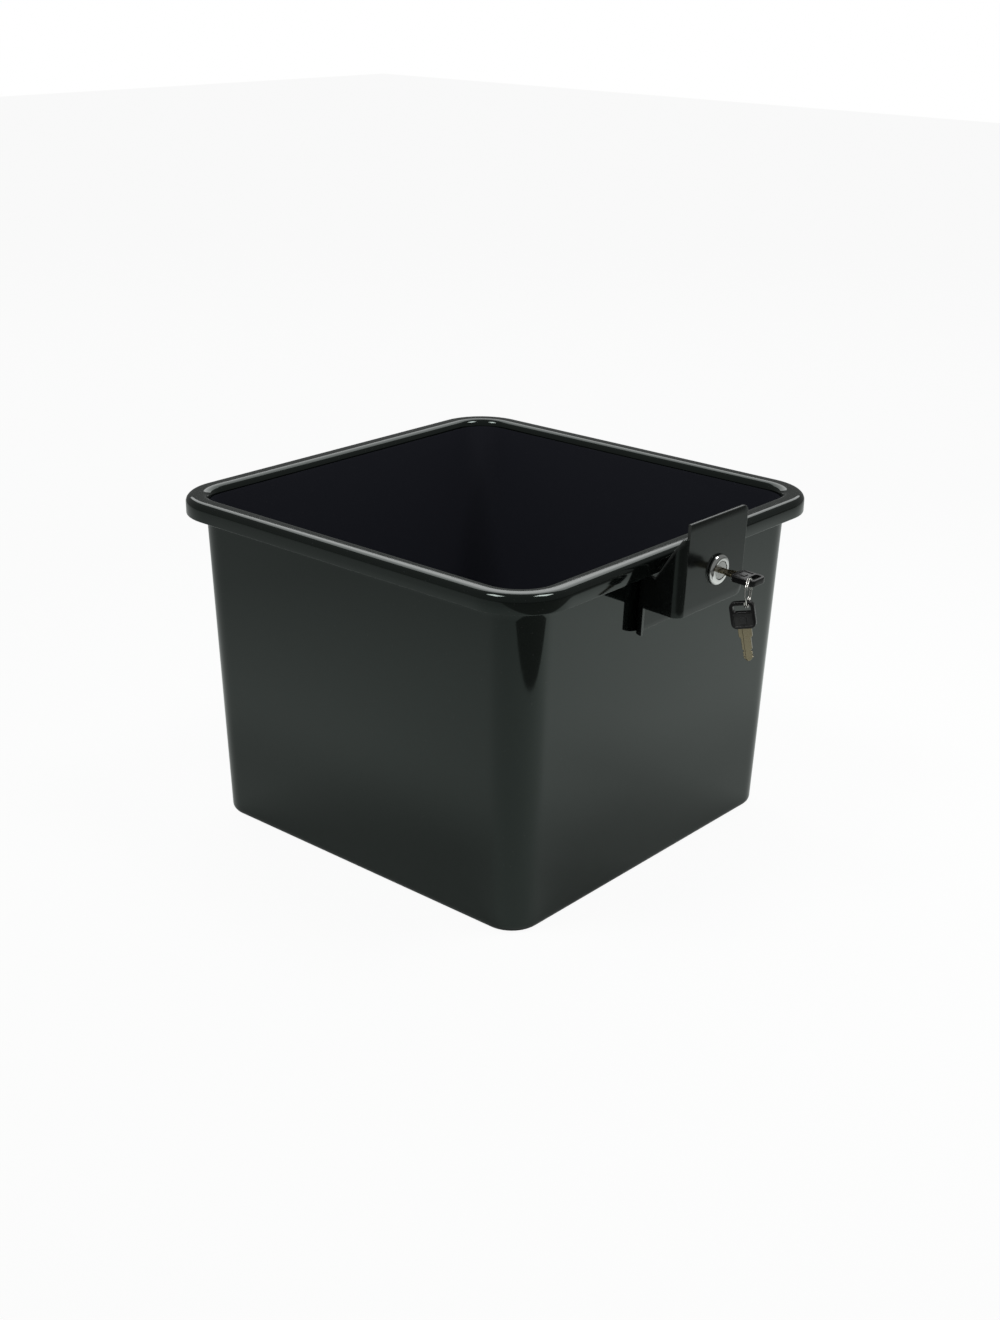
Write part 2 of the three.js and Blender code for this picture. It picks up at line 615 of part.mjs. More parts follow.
function wireAlong(curve, diameter, arcs, steps) {
  const section = new THREE.Shape().absarc(0, 0, diameter / 2, 0, 2 * Math.PI);
  return new THREE.ExtrudeGeometry(section, {
    extrudePath: curve, steps, bevelEnabled: false, curveSegments: arcs,
  });
}

function waferSpring(index) {
  const start = -SPRING_POCKET.half + SEAT_GAP + SPRING_WIRE / 2;
  const end = WAFER_LUG.left - SEAT_GAP - SPRING_WIRE / 2;
  const curve = new CoilCurve(start, end, (SPRING_DIAMETER - SPRING_WIRE) / 2, SPRING_TURNS);
  const spring = wireAlong(curve, SPRING_WIRE, 3, SPRING_TURNS * 7);
  const height = (WAFER_HEIGHT / 2 + SEAT_GAP + SPRING_POCKET.top) / 2;
  return node(`wafer_spring_${index + 1}`, spring.translate(0, waferPlace(index), height), springSteel());
}

function stopWasher() {
  const plate = slab(disc(STOP_WASHER_DIAMETER, squareHole(PLUG_TAIL_ACROSS + 2 * SEAT_GAP)),
    STOP_SEAT, STOP_SEAT + STOP_WASHER_THICKNESS);
  const { inner, outer, width, reach } = STOP_PEG;
  const [half, back] = [width / 2, STOP_SEAT + STOP_WASHER_THICKNESS];
  const ear = box(-half, half, STOP_SEAT, back, -outer, -inner + 1);
  const peg = box(-half, half, BARREL_LENGTH - reach, back, -outer, -inner);
  return node("stop_washer", join([plate, ear, peg]), platedSteel());
}

function cam() {
  const half = CAM_WIDTH / 2;
  const corner = CAM_CORNER_RADIUS;
  const shape = new THREE.Shape();
  shape.absarc(0, 0, half, Math.PI, 2 * Math.PI, false);
  shape.absarc(half - corner, CAM_REACH - corner, corner, 0, Math.PI / 2, false);
  shape.absarc(-half + corner, CAM_REACH - corner, corner, Math.PI / 2, Math.PI, false);
  shape.holes.push(squareHole(PLUG_TAIL_ACROSS + 2 * SEAT_GAP));
  return node("cam", slab(shape, CAM_SEAT, CAM_SEAT + CAM_THICKNESS), platedSteel());
}

function springWasher() {
  const shape = disc(SPRING_WASHER_DIAMETER, roundHole(CAM_SCREW_DIAMETER + 2 * SEAT_GAP));
  const end = SPRING_WASHER_SEAT + SPRING_WASHER_THICKNESS;
  return node("spring_washer", slab(shape, SPRING_WASHER_SEAT, end), springSteel());
}

function camScrew() {
  const [shank, head] = [CAM_SCREW_DIAMETER / 2, CAM_SCREW_HEAD_DIAMETER / 2];
  const end = SCREW_SEAT + CAM_SCREW_HEAD_HEIGHT;
  const tip = SCREW_SEAT - CAM_SCREW_LENGTH;
  const body = turned([
    [0, tip], [shank - 0.4, tip], [shank, tip + 0.4], [shank, SCREW_SEAT],
    [head, SCREW_SEAT], [head, end - 0.9], [head * 0.8, end - 0.2], [head * 0.6, end], [0, end],
  ]);
  return node("cam_screw", cut(body, crossRecess(0, end, 4, 0.9, 1.2)), platedSteel());
}

// ---------- Keys ----------

// A key lies flat: X is across it, Y runs from the bow to the tip, and the bow ends at Y = 0.
function keyBlade(name) {
  const [wide, narrow, tang] = [SHOULDER_WIDTH / 2, BLADE_WIDTH / 2, TANG_WIDTH / 2];
  const face = KEY_SHOWS + HEAD_HEIGHT;
  const cuts = BLADE_CUTS.flatMap((depth, index) => {
    const y = face + waferPlace(index);
    return [[narrow, y - 1.1], [narrow - depth, y - 0.4], [narrow - depth, y + 0.4], [narrow, y + 1.1]];
  }).filter(([, y]) => y < BLADE_LENGTH - BLADE_POINT.length);
  const side = [
    [tang, -TANG_LENGTH], [tang, SEAT_GAP], [wide, SEAT_GAP], [wide, SHOULDER_LENGTH - 1.2],
    [narrow, SHOULDER_LENGTH], ...cuts, [narrow, BLADE_LENGTH - BLADE_POINT.length],
    [narrow - BLADE_POINT.inset, BLADE_LENGTH],
  ];
  const otherSide = side.map(([x, y]) => [-x, y]).reverse();
  const options = { depth: BLADE_THICKNESS, bevelEnabled: false };
  const body = new THREE.ExtrudeGeometry(polygon([...side, ...otherSide]), options)
    .translate(0, 0, -BLADE_THICKNESS / 2);
  const { offset, width, depth } = BLADE_GROOVE;
  const [near, far, top] = [offset - width / 2, offset + width / 2, BLADE_THICKNESS / 2];
  const grooves = [
    box(near, far, 1, BLADE_LENGTH + 1, top - depth, top + 1),
    box(-far, -near, 1, BLADE_LENGTH + 1, -top - 1, -top + depth),
  ];
  return node(name, cut(body, grooves), brass());
}

function keyBow(name) {
  const half = BOW_WIDTH / 2;
  const outline = roundedRectangle(-half, half, -BOW_LENGTH, 0, BOW_CORNER_RADIUS);
  const slotEnd = -BOW_LENGTH + BOW_BAR + BOW_SLOT.y;
  const slotHalf = BOW_SLOT.x / 2;
  const slot = roundedRectangle(-slotHalf, slotHalf, -BOW_LENGTH + BOW_BAR, slotEnd, BOW_SLOT.radius);
  const body = new THREE.ExtrudeGeometry(outline, {
    depth: BOW_THICKNESS - 2 * BOW_EDGE, curveSegments: 4,
    bevelThickness: BOW_EDGE, bevelSize: BOW_EDGE, bevelOffset: -BOW_EDGE, bevelSegments: 1,
  }).translate(0, 0, -BOW_THICKNESS / 2 + BOW_EDGE);
  const options = { depth: 2 * BOW_THICKNESS, bevelEnabled: false, curveSegments: 4 };
  const through = new THREE.ExtrudeGeometry(slot, options).translate(0, 0, -BOW_THICKNESS);
  const { x, y, depth, boss } = BOW_RECESS;
  const middle = slotEnd / 2;
  const recesses = [1, -1].map((side) => {
    const bottom = side * (BOW_THICKNESS / 2 - depth);
    const outside = side * BOW_THICKNESS;
    const [low, high] = [Math.min(bottom, outside), Math.max(bottom, outside)];
    const raised = box(-boss / 2, boss / 2, middle - boss / 2, middle + boss / 2, low - 1, high + 1);
    return solid(box(-x / 2, x / 2, middle - y / 2, middle + y / 2, low, high)).subtract(solid(raised));
  });
  const socketHalf = TANG_WIDTH / 2 + SEAT_GAP;
  const socketThick = BLADE_THICKNESS / 2 + SEAT_GAP;
  const socket = box(-socketHalf, socketHalf, -TANG_LENGTH - SEAT_GAP, 1, -socketThick, socketThick);
  const opened = cut(body, [through, socket]);
  return node(name, recesses.reduce((whole, recess) => whole.subtract(recess), opened), keyPlastic());
}

function key(bladeName, bowName) {
  const group = new THREE.Group();
  group.add(keyBlade(bladeName), keyBow(bowName));
  return group;
}

// ---------- Split ring ----------

// Two turns of wire side by side in the XZ plane, with one short step across from turn to turn.
class SplitRingCurve extends THREE.Curve {
  getPoint(t, target = new THREE.Vector3()) {
    const step = 0.35;
    const gap = step + 0.12;
    const angle = THREE.MathUtils.lerp(gap, 4 * Math.PI - gap, t);
    const across = THREE.MathUtils.smoothstep(angle, 2 * Math.PI - step, 2 * Math.PI + step) - 0.5;
    return target.set(-RING_RADIUS * Math.cos(angle), across * RING_PITCH, RING_RADIUS * Math.sin(angle));
  }
}

function keyRing() {
  return node("key_ring", wireAlong(new SplitRingCurve(), RING_WIRE, 4, 72), platedSteel());
}

// ---------- Assembly ----------

lockSide.add(lockBracket());
lockSide.add(...bracketBolt("left", BOLT_XS[0]));
lockSide.add(...bracketBolt("right", BOLT_XS[1]));
lockSide.add(lockBarrel(), lockWasher(), lockNut());
lockSide.add(lockPlug(), stopWasher(), cam(), springWasher(), camScrew());
lockSide.add(...waferIndexes.map(wafer), ...waferIndexes.map(waferSpring));

const keyInLock = key("key_blade", "key_bow");
keyInLock.position.set(0, -HEAD_HEIGHT - KEY_SHOWS, 0);
lockSide.add(keyInLock);

// The ring hangs upright from the left side bar of the key's slot, turned a little about Z.
const barCentre = new THREE.Vector3(
  -(BOW_WIDTH + BOW_SLOT.x) / 4,
  keyInLock.position.y - BOW_LENGTH + BOW_BAR + BOW_SLOT.y / 2 - RING_FORWARD,
  0).applyMatrix4(lockSide.matrix);
const alongRing = new THREE.Vector3(Math.cos(RING_YAW), Math.sin(RING_YAW), 0);
const ringGroup = new THREE.Group();
ringGroup.position.copy(barCentre).addScaledVector(alongRing, -RING_BEYOND_BAR);
ringGroup.position.z -= RING_BELOW_BAR;
ringGroup.rotation.z = RING_YAW;
ringGroup.add(keyRing());

// The spare key hangs from the bottom of the ring, tip down and broadside to it, and leans
// because the ring bears at one end of its slot.
const hanging = new THREE.Group();
hanging.position.set(0, 0, -RING_RADIUS);
hanging.quaternion.setFromRotationMatrix(new THREE.Matrix4().makeBasis(
  new THREE.Vector3(0, -1, 0), new THREE.Vector3(0, 0, -1), new THREE.Vector3(1, 0, 0)));
const leaning = new THREE.Group();
leaning.rotation.z = -SPARE_KEY_LEAN;
const spareKey = key("spare_key_blade", "spare_key_bow");
spareKey.position.set(-SPARE_KEY_OFFSET, BOW_LENGTH - BOW_BAR - SPARE_KEY_ROOM, 0);
leaning.add(spareKey);
hanging.add(leaning);
ringGroup.add(hanging);

const group = new THREE.Group();
group.add(tub(), lockSide, ringGroup);

export default group;
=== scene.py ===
"""A lockable lift-out cash tub of black moulded plastic, with its steel lock bracket, cam lock and keys."""
import json
import math

import bmesh
import bpy
import numpy as np
from mathutils import Matrix, Vector


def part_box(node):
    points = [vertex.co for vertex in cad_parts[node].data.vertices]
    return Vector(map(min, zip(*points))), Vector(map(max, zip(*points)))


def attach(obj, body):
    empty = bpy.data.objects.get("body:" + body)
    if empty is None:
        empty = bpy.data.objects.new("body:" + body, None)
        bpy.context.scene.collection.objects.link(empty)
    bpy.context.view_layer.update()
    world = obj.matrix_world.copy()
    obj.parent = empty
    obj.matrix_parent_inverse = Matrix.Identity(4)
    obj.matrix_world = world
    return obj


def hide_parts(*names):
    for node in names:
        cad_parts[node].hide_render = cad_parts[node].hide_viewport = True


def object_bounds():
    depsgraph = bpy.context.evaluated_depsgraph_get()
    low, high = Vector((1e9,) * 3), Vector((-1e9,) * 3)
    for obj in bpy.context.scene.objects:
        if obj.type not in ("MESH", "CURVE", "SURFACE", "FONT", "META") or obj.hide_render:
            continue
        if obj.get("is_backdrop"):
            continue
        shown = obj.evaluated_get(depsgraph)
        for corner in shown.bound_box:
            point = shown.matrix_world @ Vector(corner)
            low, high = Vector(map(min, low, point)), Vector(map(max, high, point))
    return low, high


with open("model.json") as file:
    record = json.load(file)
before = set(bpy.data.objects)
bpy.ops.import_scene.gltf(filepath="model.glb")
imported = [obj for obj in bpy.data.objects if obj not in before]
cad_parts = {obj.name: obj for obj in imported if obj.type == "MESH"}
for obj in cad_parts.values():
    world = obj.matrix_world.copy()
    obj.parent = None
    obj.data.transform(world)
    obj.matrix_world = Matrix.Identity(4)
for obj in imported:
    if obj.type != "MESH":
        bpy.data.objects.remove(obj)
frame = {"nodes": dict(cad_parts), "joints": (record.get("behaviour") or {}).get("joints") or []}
cad_box = [list(map(float, corner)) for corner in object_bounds()]

# ---------- Studio ----------
# A white table under a high bank of light behind the object and two small overhead boxes. The table's
# colour greys away from a point in front of the object, a painted pool of light, and past its front edge
# a dark sheet seen only in gloss is a painted reflection of the unlit room. Only white shows; the rest is
# for the gloss to reflect.

AZIMUTH = math.radians(-49.394)
ELEVATION = math.radians(21.835)
ROLL = math.radians(0.931)
DISTANCE = 1.40547
TARGET = Vector((-0.01844, -0.02030, 0.13616))
LENS_PER_SENSOR = 1800.34 / 1320

back = Vector((
    math.sin(AZIMUTH) * math.cos(ELEVATION),
    -math.cos(AZIMUTH) * math.cos(ELEVATION),
    math.sin(ELEVATION)))
level_right = Vector((math.cos(AZIMUTH), math.sin(AZIMUTH), 0))
level_up = back.cross(level_right)
right = level_right * math.cos(ROLL) + level_up * math.sin(ROLL)
up = back.cross(right)

camera_data = bpy.data.cameras.new("camera")
camera_data.sensor_width = 36
camera_data.lens = LENS_PER_SENSOR * camera_data.sensor_width
camera_data.clip_start = 0.01
camera = bpy.data.objects.new("camera", camera_data)
camera.matrix_world = Matrix((right, up, back)).transposed().to_4x4()
camera.location = TARGET + back * DISTANCE
bpy.context.scene.collection.objects.link(camera)
bpy.context.scene.camera = camera

bpy.context.scene.view_settings.view_transform = "Standard"


def white_to_the_eye(tree, surface, seen, share):
    """Mixes a surface with plain white of strength seen, for the share of what the eye or a gloss sees."""
    nodes, links = tree.nodes, tree.links
    path = nodes.new("ShaderNodeLightPath")
    on_world = surface.bl_idname == "ShaderNodeBackground"
    white = nodes.new("ShaderNodeBackground" if on_world else "ShaderNodeEmission")
    white.inputs["Color"].default_value = (1, 1, 1, 1)
    white.inputs["Strength"].default_value = seen
    scale = nodes.new("ShaderNodeMath")
    scale.operation = "MULTIPLY"
    scale.inputs[1].default_value = share
    mix = nodes.new("ShaderNodeMixShader")
    links.new(path.outputs["Is Camera Ray"], scale.inputs[0])
    links.new(scale.outputs[0], mix.inputs["Fac"])
    links.new(surface.outputs[0], mix.inputs[1])
    links.new(white.outputs[0], mix.inputs[2])
    return mix


world = bpy.data.worlds.new("studio air")
world.use_nodes = True
bpy.context.scene.world = world
air = world.node_tree.nodes["Background"]
air.inputs["Color"].default_value = (0.97, 1.0, 0.98, 1)
air.inputs["Strength"].default_value = 0.20
seen_air = white_to_the_eye(world.node_tree, air, 1.0, 1.0)
world.node_tree.links.new(seen_air.outputs[0], world.node_tree.nodes["World Output"].inputs["Surface"])


def soft_box(name, width, height, place, aim, power):
    """A rectangular lamp of that size at place, turned so that it faces aim."""
    lamp = bpy.data.lights.new(name, "AREA")
    lamp.shape = "RECTANGLE"
    lamp.size, lamp.size_y, lamp.energy = width, height, power
    obj = bpy.data.objects.new(name, lamp)
    obj.matrix_world = (Vector(place) - Vector(aim)).to_track_quat("Z", "Y").to_matrix().to_4x4()
    obj.location = place
    obj.visible_camera = False
    bpy.context.scene.collection.objects.link(obj)
    return obj


away = Vector((-back.x, -back.y, 0)).normalized()
soft_box("high bank", 2.6, 1.5, away * 1.65 + Vector((0, 0, 1.62)), (0, 0, 0.26), 22)
soft_box("overhead box left", 0.6, 0.6, (-0.95, 0.35, 2.1), (0, 0, 0.2), 15)
soft_box("overhead box right", 0.6, 0.6, (0.45, -0.75, 2.1), (0, 0, 0.2), 15)

FLOOR_REACH = 6.0
floor_mesh = bpy.data.meshes.new("floor")
floor_mesh.from_pydata(
    [(-FLOOR_REACH, -FLOOR_REACH, 0), (FLOOR_REACH, -FLOOR_REACH, 0),
     (FLOOR_REACH, FLOOR_REACH, 0), (-FLOOR_REACH, FLOOR_REACH, 0)], [], [(0, 1, 2, 3)])
floor = bpy.data.objects.new("floor", floor_mesh)
bpy.context.scene.collection.objects.link(floor)
paper = bpy.data.materials.new("white paper")
paper.use_nodes = True
paper_nodes, paper_links = paper.node_tree.nodes, paper.node_tree.links
paper_surface = paper_nodes["Principled BSDF"]
# Painted pool of light: the floor's colour fades from near white to grey with distance from a point in front of the
# object, so the gloss reflects a floor that darkens away from the lamps.
light_pool_place = paper_nodes.new("ShaderNodeTexCoord")
light_pool_distance = paper_nodes.new("ShaderNodeVectorMath")
light_pool_distance.operation = "DISTANCE"
light_pool_distance.inputs[1].default_value = (0.15, -0.25, 0)
painted_light_pool_ramp = paper_nodes.new("ShaderNodeValToRGB")
painted_light_pool_ramp.color_ramp.elements[0].position = 0.30
painted_light_pool_ramp.color_ramp.elements[0].color = (0.86, 0.90, 0.875, 1)
painted_light_pool_ramp.color_ramp.elements[1].position = 1.0
painted_light_pool_ramp.color_ramp.elements[1].color = (0.46, 0.48, 0.47, 1)
paper_links.new(light_pool_place.outputs["Object"], light_pool_distance.inputs[0])
paper_links.new(light_pool_distance.outputs["Value"], painted_light_pool_ramp.inputs["Fac"])
paper_links.new(painted_light_pool_ramp.outputs["Color"], paper_surface.inputs["Base Color"])
paper_surface.inputs["Roughness"].default_value = 0.95
paper_surface.inputs["Specular IOR Level"].default_value = 0.1
seen_paper = white_to_the_eye(paper.node_tree, paper_surface, 1.0, 0.94)
paper_links.new(seen_paper.outputs[0], paper_nodes["Material Output"].inputs["Surface"])
floor_mesh.materials.append(paper)
floor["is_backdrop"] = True

# Painted reflection: a dark sheet on the floor past the table's front edge. It is hidden from the eye, from diffuse
# light and from shadow, so only the gloss sees it, standing in for the unlit room beyond.
painted_reflection_mesh = bpy.data.meshes.new("painted dark reflection sheet")
painted_reflection_mesh.from_pydata(
    [(-2.5, -0.02, 0.001), (-0.5, -0.46, 0.001), (0.5, -0.68, 0.001), (2.5, -1.2, 0.001),
     (2.5, -5, 0.001), (-2.5, -5, 0.001)],
    [], [(0, 1, 2, 3, 4, 5)])
painted_reflection_sheet = bpy.data.objects.new("painted_dark_reflection_sheet", painted_reflection_mesh)
bpy.context.scene.collection.objects.link(painted_reflection_sheet)
for sight in ("visible_camera", "visible_diffuse", "visible_shadow", "visible_transmission",
              "visible_volume_scatter"):
    setattr(painted_reflection_sheet, sight, False)
painted_reflection_paint = bpy.data.materials.new("painted dark reflection")
painted_reflection_paint.use_nodes = True
painted_reflection_paint.node_tree.nodes["Principled BSDF"].inputs["Base Color"].default_value = (0.17, 0.175, 0.165, 1)
painted_reflection_mesh.materials.append(painted_reflection_paint)
painted_reflection_sheet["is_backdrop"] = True

# ---------- Tub ----------
# One injection moulding in gloss black plastic: a flat floor, four walls that lean out by the
# draft, and a rim that stands out from the walls, rolls in at the mouth and turns down as a skirt.

tub_low, tub_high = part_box("tub")
TUB_HEIGHT = tub_high.z
RIM_HALF = tub_high.x
BASE_HALF = 0.157
DRAFT = math.radians(2.02)
WALL = 0.003
FLOOR_THICKNESS = 0.003
BASE_CORNER, TOP_CORNER = 0.024, 0.029
BASE_EDGE, FLOOR_FILLET = 0.005, 0.007
RIM_OVERHANG = RIM_HALF - BASE_HALF - TUB_HEIGHT * math.tan(DRAFT)
RIM_TOP_WIDTH, RIM_THICKNESS, RIM_EDGE = 0.012, 0.003, 0.0055
SKIRT_DROP, SKIRT_THICKNESS = 0.014, 0.0026


def mark_edges(mesh):
    """Gives each vertex an edge value: the sharpest turn between two faces that meet there.

    A turn of a fifth of a right angle or less is nought, and half a right angle or more is one.
    """
    corners = np.zeros(len(mesh.loops), int)
    mesh.loops.foreach_get("vertex_index", corners)
    normals = np.zeros((len(mesh.polygons), 3))
    mesh.polygons.foreach_get("normal", normals.reshape(-1))
    sides = np.zeros(len(mesh.polygons), int)
    mesh.polygons.foreach_get("loop_total", sides)
    of_corner = np.repeat(normals, sides, 0)
    mean = np.zeros((len(mesh.vertices), 3))
    np.add.at(mean, corners, of_corner)
    mean /= np.maximum(np.linalg.norm(mean, axis=1, keepdims=True), 1e-9)
    turn = np.arccos(np.clip((of_corner * mean[corners]).sum(1), -1, 1))
    most = np.zeros(len(mesh.vertices))
    np.maximum.at(most, corners, turn)
    edge = np.clip((most / (np.pi / 2) - 0.08) / 0.14, 0, 1)
    mesh.attributes.new("edge", "FLOAT", "POINT").data.foreach_set("value", edge.astype(np.float32))


def ring_mesh(name, rings, closed=False):
    """Stacks rings of points, an array of ring, point and coordinate, into one smooth solid.

    Point (i, j) joins (i, j+1), (i+1, j+1) and (i+1, j). Rings run right round. The stack either
    closes on itself or has a flat face on its first and last ring.
    """
    rings = np.asarray(rings, dtype=np.float64)
    count, around = rings.shape[:2]
    row, column = np.meshgrid(np.arange(count if closed else count - 1), np.arange(around), indexing="ij")
    row, column = row.ravel(), column.ravel()
    above, beside = (row + 1) % count, (column + 1) % around
    quads = np.stack([row * around + column, row * around + beside,
                      above * around + beside, above * around + column], 1)
    faces = quads.tolist()
    if not closed:
        faces += [list(range(around))[::-1], list(range((count - 1) * around, count * around))]
    mesh = bpy.data.meshes.new(name)
    mesh.from_pydata(rings.reshape(-1, 3).tolist(), [], faces)
    work = bmesh.new()
    work.from_mesh(mesh)
    bmesh.ops.recalc_face_normals(work, faces=work.faces)
    work.to_mesh(mesh)
    work.free()
    mark_edges(mesh)
    mesh.polygons.foreach_set("use_smooth", [True] * len(mesh.polygons))
    mesh.set_sharp_from_angle(angle=math.radians(38))
    obj = bpy.data.objects.new(name, mesh)
    bpy.context.scene.collection.objects.link(obj)
    return obj


def rounded_square_rings(half, radius, z, arc=14, side=(0.015, 0.2, 0.5, 0.8, 0.985)):
    """Rings of a rounded square, one for each half width, corner radius and height in the arrays.

    A corner point is the arc's centre (half - radius) in both directions plus the radius turned by
    its angle; the points between two arcs divide the straight side at the given shares.
    """
    half, radius, z = (np.asarray(a, dtype=float)[:, None] for a in (half, radius, z))
    turn = np.linspace(0, np.pi / 2, arc)
    corner_x = half - radius + radius * np.cos(turn)
    corner_y = half - radius + radius * np.sin(turn)
    share = np.array(side)
    straight_x = (half - radius) * (1 - 2 * share)
    x = np.concatenate([corner_x, straight_x], 1)
    y = np.concatenate([corner_y, np.broadcast_to(half, straight_x.shape)], 1)
    ring_x = np.concatenate([x, -y, -x, y], 1)
    ring_y = np.concatenate([y, x, -y, -x], 1)
    return np.stack([ring_x, ring_y, np.broadcast_to(z, ring_x.shape)], -1)


def quarter(steps):
    """Equal turns from nothing to a right angle."""
    return np.linspace(0, np.pi / 2, steps)


def tub_profile():
    """The half width, corner radius and height of each ring, from the base round the rim to the floor.

    A fillet of radius r is r times one less the sine or cosine of the turn; a wall's half width
    grows with height by the tangent of the draft.
    """
    wall = lambda z: BASE_HALF + np.tan(DRAFT) * z
    corner = lambda z: BASE_CORNER + (TOP_CORNER - BASE_CORNER) * z / TUB_HEIGHT
    rows = []

    def add(half, radius, z):
        rows.append(np.stack(np.broadcast_arrays(half, radius, z), -1).reshape(-1, 3))

    turn = quarter(7)
    inset, z = BASE_EDGE * (1 - np.sin(turn)), BASE_EDGE * (1 - np.cos(turn))
    add(wall(z) - inset, corner(z) - inset, z)
    hollow_top = TUB_HEIGHT - RIM_THICKNESS
    z = np.linspace(BASE_EDGE + 0.002, hollow_top - 0.0012, 14)
    add(wall(z), corner(z), z)
    add(wall(hollow_top) + 0.0008, corner(hollow_top) + 0.0008, hollow_top)
    rim_radius = TOP_CORNER + RIM_OVERHANG
    inner = RIM_HALF - SKIRT_THICKNESS
    hollow = RIM_EDGE - SKIRT_THICKNESS
    turn = quarter(7)[::-1]
    inset = SKIRT_THICKNESS + hollow * (1 - np.cos(turn))
    add(RIM_HALF - inset, rim_radius - inset, hollow_top - hollow * (1 - np.sin(turn)))
    bottom, soft = TUB_HEIGHT - SKIRT_DROP, 0.0006
    add(inner, rim_radius - SKIRT_THICKNESS, bottom + soft)
    turn = quarter(4)
    add(inner + soft * (1 - np.cos(turn)), rim_radius - SKIRT_THICKNESS + soft * (1 - np.cos(turn)),
        bottom + soft * (1 - np.sin(turn)))
    add(RIM_HALF - soft * (1 - np.sin(turn)), rim_radius - soft * (1 - np.sin(turn)),
        bottom + soft * (1 - np.cos(turn)))
    turn = quarter(12)
    inset = RIM_EDGE * (1 - np.cos(turn))
    add(RIM_HALF - inset, rim_radius - inset, TUB_HEIGHT - RIM_EDGE * (1 - np.sin(turn)))
    mouth = RIM_HALF - RIM_TOP_WIDTH
    roll = mouth - (wall(TUB_HEIGHT) - WALL)
    start = TUB_HEIGHT - roll
    grown = mouth - (wall(start) - WALL)
    turn = quarter(9)[::-1]
    out = grown * (1 - np.cos(turn))
    add(wall(start) - WALL + out, corner(start) - WALL + out, start + roll * np.sin(turn))
    z = np.linspace(start - 0.002, FLOOR_THICKNESS + FLOOR_FILLET + 0.002, 12)
    add(wall(z) - WALL, corner(z) - WALL, z)
    turn = quarter(8)[::-1]
    z = FLOOR_THICKNESS + FLOOR_FILLET * (1 - np.cos(turn))
    inset = FLOOR_FILLET * (1 - np.sin(turn))
    add(wall(z) - WALL - inset, corner(z) - WALL - inset, z)
    return np.concatenate(rows)


def speckle_group():
    """A node group that breaks up a finish: fine dust, faint wiping marks and a broad, slow unevenness."""
    group = bpy.data.node_groups.new("handled surface", "ShaderNodeTree")
    face = group.interface
    face.new_socket("Vector", in_out="INPUT", socket_type="NodeSocketVector")
    face.new_socket("Scale", in_out="INPUT", socket_type="NodeSocketFloat")
    for name in ("Dust", "Wipes", "Broad"):
        face.new_socket(name, in_out="OUTPUT", socket_type="NodeSocketFloat")
    nodes, links = group.nodes, group.links
    entry, leave = nodes.new("NodeGroupInput"), nodes.new("NodeGroupOutput")

    def noise(scale, detail, stretch=(1, 1, 1)):
        """Noise of that scale, drawn out by stretch, times the group's own scale."""
        place = nodes.new("ShaderNodeMapping")
        place.inputs["Scale"].default_value = stretch
        links.new(entry.outputs["Vector"], place.inputs["Vector"])
        times = nodes.new("ShaderNodeMath")
        times.operation = "MULTIPLY"
        times.inputs[1].default_value = scale
        links.new(entry.outputs["Scale"], times.inputs[0])
        texture = nodes.new("ShaderNodeTexNoise")
        texture.inputs["Detail"].default_value = detail
        links.new(place.outputs["Vector"], texture.inputs["Vector"])
        links.new(times.outputs[0], texture.inputs["Scale"])
        return texture.outputs["Fac"]

    def between(value, low, high):
        """Nought below low, one above high and a smooth rise between."""
        ramp = nodes.new("ShaderNodeMapRange")
        ramp.interpolation_type = "SMOOTHSTEP"
        ramp.inputs["From Min"].default_value = low
        ramp.inputs["From Max"].default_value = high
        links.new(value, ramp.inputs["Value"])
        return ramp.outputs["Result"]

    links.new(between(noise(900, 2), 0.70, 0.78), leave.inputs["Dust"])
    links.new(between(noise(60, 6, (1, 1, 7)), 0.56, 0.74), leave.inputs["Wipes"])
    links.new(noise(9, 3), leave.inputs["Broad"])
    return group


handled = speckle_group()


